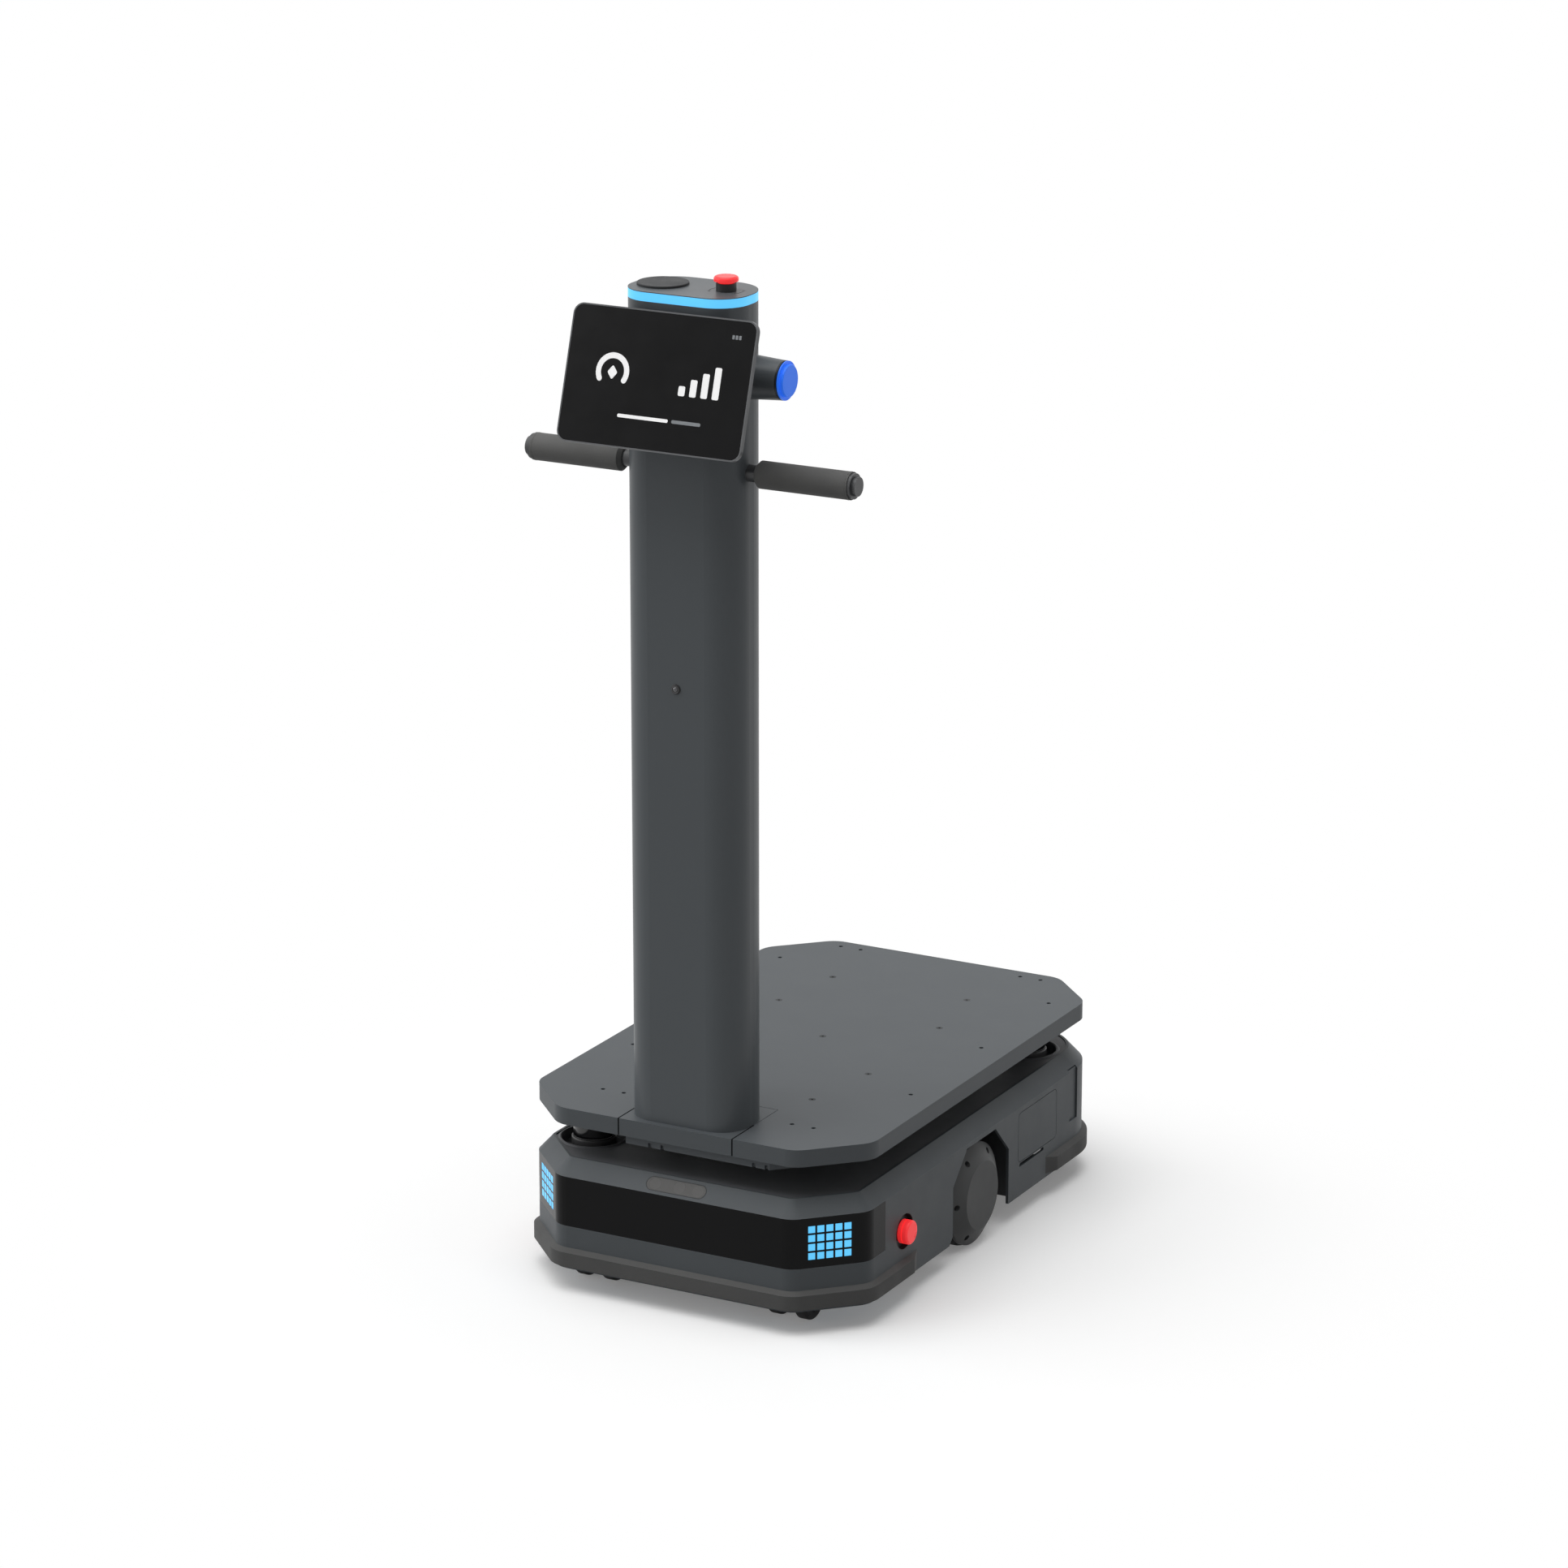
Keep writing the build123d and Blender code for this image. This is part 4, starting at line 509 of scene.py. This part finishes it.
def tyre_profile():
    """Half-section of the tyre, a loop of (radius, distance from the robot's middle)."""
    side_wall = [(61.5, 1.0), (64.5, 0.0), (67.8, 0.6), (70.4, 2.6), (WHEEL_R, 5.5)]
    tread = []
    for top, floor_start, floor_end, end in GROOVES:
        tread.append([(WHEEL_R, top), (GROOVE_R, floor_start), (GROOVE_R, floor_end), (WHEEL_R, end)])
    inner = [(r, TYRE_INNER + x) for r, x in side_wall]
    outer = [(r, TYRE_OUTER - x) for r, x in reversed(side_wall)]
    return inner + tread[0] + [(WHEEL_R, x) for x in TREAD_MIDDLE] + tread[1] + outer


for which, side in zip(SIDES, (-1, 1)):
    bm = bmesh.new()
    rows = []
    for k in range(TREAD_STEPS):
        angle = 2 * math.pi * k / TREAD_STEPS
        row = []
        for r, x in tyre_profile():
            shoulder = r > 67.0 and (x < 197.8 or x > 214.2)
            reach = r - (CUT_DEPTH if shoulder and k % CUT_PITCH in (0, 1) else 0.0)
            row.append(bm.verts.new((side * x, WHEEL_Y + reach * math.cos(angle),
                                     WHEEL_Z + reach * math.sin(angle))))
        rows.append(row)
    skin(bm, rows, wrap=True)
    tyre = piece(f"tread_{which}", bm, f"drive_wheel_{which}", FINISHES["tyre_black"], 28)
    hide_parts(f"drive_tyre_{which}")

    bm = bmesh.new()
    for k in range(SCREWS):
        angle = 2 * math.pi * k / SCREWS
        place = (side * SCREW_X, WHEEL_Y + SCREW_RING * math.cos(angle),
                 WHEEL_Z + SCREW_RING * math.sin(angle))
        socket_head(bm, place, (side, 0, 0), 3.3, 2.2, 1.5)
    piece(f"cover_screws_{which}", bm, f"drive_wheel_{which}", FINISHES["screw_steel"])


# Casters: a cap over each end of every axle

PLACES = {"front_left": (-141.5, -276.0), "front_right": (141.5, -276.0),
          "rear_left": (-141.5, 334.0), "rear_right": (141.5, 334.0)}
CASTER_TRAIL, CASTER_AXLE_Z, CASTER_CAP_X = 24.0, 27.0, 26.4
for corner, (x, y) in PLACES.items():
    bm = bmesh.new()
    for way in (-1, 1):
        turned(bm, [(0.2, 0), (11.5, 0), (12.5, 0.6), (12.5, 1.2), (9.0, 2.2), (4.0, 2.4), (0.2, 2.4)],
               (x + way * CASTER_CAP_X, y - CASTER_TRAIL, CASTER_AXLE_Z), (way, 0, 0), 40, False)
    piece(f"caster_hub_caps_{corner}", bm, f"caster_wheels_{corner}", FINISHES["black_plastic"])


# Screen: plain white status graphics, a charge ring, level bars and a progress line

LEAN = math.radians(17.5)
SCREEN_FRONT, SCREEN_LOW, SCREEN_HALF = -417.5, 1134.9, 85.15
screen_u = Vector((1, 0, 0))
screen_v = Vector((0, math.sin(LEAN), math.cos(LEAN)))
screen_middle = Vector((0, SCREEN_FRONT, SCREEN_LOW)) + screen_v * SCREEN_HALF


def on_screen(name, outlines, material):
    """Makes one piece of thin plates that lie on the screen's glass."""
    bm = bmesh.new()
    for outline in outlines:
        slab(bm, outline, screen_middle, screen_u, screen_v, 0.04, 0.2)
    piece(name, bm, "chassis", material)


ring = [(x - 62, y + 6) for x, y in arc_band(19.5, 7.0, -30, 210, 60)]
bars = [box_outline(9.0, h, 2.2, 36 + 15.5 * k, -14 + h / 2) for k, h in enumerate((12, 21, 30, 39))]
drop = rounded([(-7, 0), (0, 9), (7, 0), (0, -9)], 2.4, 6)
marker = [(x - 62, y + 5) for x, y in drop]
line = box_outline(70.0, 4.2, 2.1, -12.0, -46.0)
rest_line = box_outline(40.0, 4.2, 2.1, 48.0, -46.0)
on_screen("screen_charge_ring", [ring, marker], PRINT_WHITE)
on_screen("screen_level_bars", bars, PRINT_WHITE)
on_screen("screen_progress_line", [line], PRINT_WHITE)
on_screen("screen_progress_rest", [rest_line], PRINT_DIM)
cell = [box_outline(3.2, 5.0, 0.8, 96 + 4.6 * k, 63.5) for k in range(3)]
on_screen("screen_battery_cells", cell, PRINT_DIM)


# Column: turn marks beside the top stop button, and the small camera's lens

STOP_AT = (44, -296.5, 1314.5)
MARK_R, MARK_THICK = 21.0, 0.18
CAMERA_AT = (0, -350.0, 819.5)

bm = bmesh.new()
for turn in (0, 180):
    arc = arc_band(MARK_R, 1.1, turn - 34, turn + 26, 30)
    spin = Matrix.Rotation(math.radians(33 + turn), 2)
    head = [tuple(spin @ Vector(p)) for p in ((MARK_R + 2.0, -2.2), (MARK_R, 3.0), (MARK_R - 2.0, -2.2))]
    for outline in (arc, head):
        slab(bm, outline, STOP_AT, (1, 0, 0), (0, 1, 0), 0.0, MARK_THICK)
piece("stop_turn_marks", bm, "chassis", PRINT_DARK)

bm = bmesh.new()
turned(bm, [(0.1, 1.9), (1.6, 1.7), (2.9, 1.0), (3.5, 0.1), (3.5, -0.4), (0.1, -0.4)],
       CAMERA_AT, (0, -1, 0), 40, False)
piece("column_lens", bm, "chassis", GLASS)
bm = bmesh.new()
turned(bm, rounded([(3.6, -0.3), (5.0, -0.3), (5.0, 0.9), (4.0, 0.9)], 0.25, 3),
       CAMERA_AT, (0, -1, 0), 40)
piece("column_lens_ring", bm, "chassis", FINISHES["screw_steel"])


# Slope window: discs on its face that stand for the depth camera's lenses, and a dark ring round it that
# paints the shade in its seam

SHELL_FRONT, CREASE_Z = -364.4, 155.5
SLOPE_RUN, SLOPE_RISE = 19.0, 20.5
LENS_X = (-30.0, 4.0, 31.5)
SEAM_SHADE_LENGTH, SEAM_SHADE_HEIGHT, SEAM_SHADE_HALF = 85.9, 18.7, 0.5

slope_out = Vector((0, -SLOPE_RISE, SLOPE_RUN)).normalized()
slope_up = Vector((0, SLOPE_RUN, SLOPE_RISE)).normalized()
slope_middle = Vector((0, SHELL_FRONT + SLOPE_RUN / 2, CREASE_Z + SLOPE_RISE / 2))
bm = bmesh.new()
for x in LENS_X:
    turned(bm, [(0.1, 0.07), (7.9, 0.07), (8.1, -0.2), (0.1, -0.2)], slope_middle + Vector((x, 0, 0)),
           slope_out, 48, False)
piece("depth_lenses", bm, "chassis", LENS_VEIL)
# A dark ring over the window's seam: painted shade of the gap round the window.
bm = bmesh.new()
seam_shade = [pill_outline(SEAM_SHADE_LENGTH + grow, SEAM_SHADE_HEIGHT + grow) for grow in (-2 * SEAM_SHADE_HALF, 2 * SEAM_SHADE_HALF)]
rim(bm, *seam_shade, slope_middle, (1, 0, 0), slope_up, -0.5, 0.1)
piece("window_seam_shade", bm, "chassis", FINISHES["disc_dark"])


# Deck: near-black lines of painted shade over the seams on both sides of the column's foot, a little proud
# of the deck

DECK_FRONT, DECK_TOP = -357.7, 246.1
JOINT_X, JOINT_HALF = 82.1, 0.95
JOINT_LOW, JOINT_STEP, JOINT_END = 223.8, 243.0, -300.0

joint_front, joint_back, joint_top = DECK_FRONT - 0.15, DECK_FRONT + 2.5, DECK_TOP + 0.1
joint = [(joint_front, JOINT_LOW), (joint_back, JOINT_LOW), (joint_back, JOINT_STEP),
         (JOINT_END, JOINT_STEP), (JOINT_END, joint_top), (joint_front, joint_top)]
bm = bmesh.new()
for x in (-JOINT_X, JOINT_X):
    slab(bm, joint, (0, 0, 0), (0, 1, 0), (0, 0, 1), x - JOINT_HALF, x + JOINT_HALF)
piece("foot_seam_shade_lines", bm, "chassis", SEAM_SHADE_BLACK)


# Corner recesses: a panel in each, its face 2.5 mm below the shell

PANEL_Y, PANEL_Z = 306.5, 121.75
PANEL_BACK, PANEL_FACE = 235.0, 239.8

bm = bmesh.new()
for side in (-1, 1):
    slab(bm, box_outline(23.6, 72.3, 1.0, side * PANEL_Y, PANEL_Z), (0, 0, 0), (0, side, 0), (0, 0, 1),
         PANEL_BACK, PANEL_FACE, 0.4)
piece("corner_recess_panels", bm, "chassis", FINISHES["body_grey"])


# Suspension springs: coils of wire that stand in for the CAD springs, each with a mesh of its own

COIL_R, COIL_WIRE, COIL_TURNS = 7.4, 1.6, 6

for which in SIDES:
    node = f"suspension_spring_{which}"
    low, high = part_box(node)
    middle = [(a + b) / 2 / MM for a, b in zip(low, high)]
    bottom, top = low[2] / MM, high[2] / MM
    bm = bmesh.new()
    coil(bm, (middle[0], middle[1], 0), bottom + COIL_WIRE, top - COIL_WIRE, COIL_R, COIL_WIRE, COIL_TURNS)
    obj = piece(f"coil_spring_{which}", bm, "chassis", FINISHES["spring_steel"])
    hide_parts(node)
    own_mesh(obj)


# Lidars: a raised cup rim on the roof, and two trim rings round each lidar

LIDARS = {"front": (-173.0, -263.5), "rear": (170.0, 305.0)}
ROOF_Z = 174.8
TRIM_RINGS = ((179.2, 27.25), (209.4, 26.6))

for which, (x, y) in LIDARS.items():
    bm = bmesh.new()
    turned(bm, rounded([(42.3, -3.5), (42.3, 0.9), (43.0, 1.6), (44.6, 1.6), (46.6, 0.3), (47.4, -1.0),
                        (46.0, -3.5)], 0.4, 3), (x, y, ROOF_Z), (0, 0, 1), 96)
    piece(f"lidar_cup_rim_{which}", bm, "chassis", FINISHES["roof_dark"])
    bm = bmesh.new()
    for z, r in TRIM_RINGS:
        turned(bm, rounded([(r - 1.2, -0.6), (r, -0.6), (r, 0.6), (r - 1.2, 0.6)], 0.25, 2), (x, y, z),
               (0, 0, 1), 80)
    piece(f"lidar_trim_{which}", bm, "chassis", FINISHES["lidar_housing"])


# Handle: a moulding ring at each grip's outer end

RING_X, HANDLE_Y, HANDLE_Z = 219.0, -305.5, 1093.5

for which, side in zip(SIDES, (-1, 1)):
    bm = bmesh.new()
    turned(bm, rounded([(17.0, -0.5), (17.62, -0.35), (17.62, 0.35), (17.0, 0.5)], 0.1, 2),
           (side * RING_X, HANDLE_Y, HANDLE_Z), (side, 0, 0), 72)
    piece(f"grip_ring_{which}", bm, "chassis", FINISHES["grip_rubber"])


# Floor and light

def seen_directly(tree):
    """1 for rays from the camera, a mirror or a clear body, 0 for all others."""
    path = tree.nodes.new("ShaderNodeLightPath")
    value = path.outputs["Is Camera Ray"]
    for other in ("Is Glossy Ray", "Is Transmission Ray"):
        node = tree.nodes.new("ShaderNodeMath")
        node.operation = "MAXIMUM"
        tree.links.new(value, node.inputs[0])
        tree.links.new(path.outputs[other], node.inputs[1])
        value = node.outputs["Value"]
    return value


def fill_world():
    """White where it is seen directly, and a weak fill light for the rest."""
    world = bpy.data.worlds.new("world")
    scene.world = world
    world.use_nodes = True
    tree = world.node_tree
    tree.nodes.clear()
    output = tree.nodes.new("ShaderNodeOutputWorld")
    mix = tree.nodes.new("ShaderNodeMixShader")
    tree.links.new(seen_directly(tree), mix.inputs["Fac"])
    for socket, strength in ((1, 0.14), (2, 1.0)):
        sky = tree.nodes.new("ShaderNodeBackground")
        sky.inputs["Color"].default_value = (1.0, 1.0, 1.0, 1.0)
        sky.inputs["Strength"].default_value = strength
        tree.links.new(sky.outputs["Background"], mix.inputs[socket])
    tree.links.new(mix.outputs["Shader"], output.inputs["Surface"])


def floor_material():
    """Pale paint that takes the shadow, turns white further out, and throws little light back."""
    recipe = Recipe("floor")
    recipe.tree.nodes.remove(recipe.shader)
    paint = recipe.add("ShaderNodeBsdfDiffuse")
    paint.inputs["Color"].default_value = (0.88, 0.88, 0.88, 1.0)
    dim = recipe.add("ShaderNodeBsdfDiffuse")
    dim.inputs["Color"].default_value = (0.3, 0.3, 0.3, 1.0)
    lift = recipe.add("ShaderNodeEmission")
    lift.inputs["Strength"].default_value = 0.17
    sheet = recipe.add("ShaderNodeEmission")
    sheet.inputs["Strength"].default_value = 1.0
    add = recipe.add("ShaderNodeAddShader")
    recipe.link(paint.outputs["BSDF"], add.inputs[0])
    recipe.link(lift.outputs["Emission"], add.inputs[1])
    length = recipe.add("ShaderNodeVectorMath", operation="LENGTH")
    recipe.link(recipe.place, length.inputs[0])
    far = recipe.span(length.outputs["Value"], 0.4, 1.0, 0.0, 1.0)
    away = recipe.add("ShaderNodeMixShader")
    recipe.link(far, away.inputs["Fac"])
    recipe.link(add.outputs["Shader"], away.inputs[1])
    recipe.link(sheet.outputs["Emission"], away.inputs[2])
    shown = recipe.add("ShaderNodeMixShader")
    recipe.link(seen_directly(recipe.tree), shown.inputs["Fac"])
    recipe.link(dim.outputs["BSDF"], shown.inputs[1])
    recipe.link(away.outputs["Shader"], shown.inputs[2])
    recipe.link(shown.outputs["Shader"], recipe.output.inputs["Surface"])
    return recipe.material


FLOOR_HALF = 40.0

fill_world()
bm = bmesh.new()
outline = [(x * FLOOR_HALF, y * FLOOR_HALF, 0) for x, y in ((-1, -1), (1, -1), (1, 1), (-1, 1))]
bm.faces.new([bm.verts.new(point) for point in outline])
mesh = bpy.data.meshes.new("floor")
bm.to_mesh(mesh)
bm.free()
mesh.materials.append(floor_material())
floor = bpy.data.objects.new("floor", mesh)
scene.collection.objects.link(floor)
floor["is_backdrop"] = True


def lamp(name, aim, strength, softness):
    """A sun that shines along aim; softness is its angle in degrees."""
    data = bpy.data.lights.new(name, "SUN")
    data.energy = strength
    data.angle = math.radians(softness)
    obj = bpy.data.objects.new(name, data)
    obj.rotation_mode = "QUATERNION"
    obj.rotation_quaternion = Vector(aim).to_track_quat("-Z", "Y")
    scene.collection.objects.link(obj)


lamp("key", (0.1, 0.2, -1.6), 2.05, 60)
lamp("left", (1.0, 0.5, -0.5), 1.25, 60)
lamp("right", (-1.0, -0.3, -0.6), 0.2, 60)
scene.view_settings.view_transform = "Standard"

low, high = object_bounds()
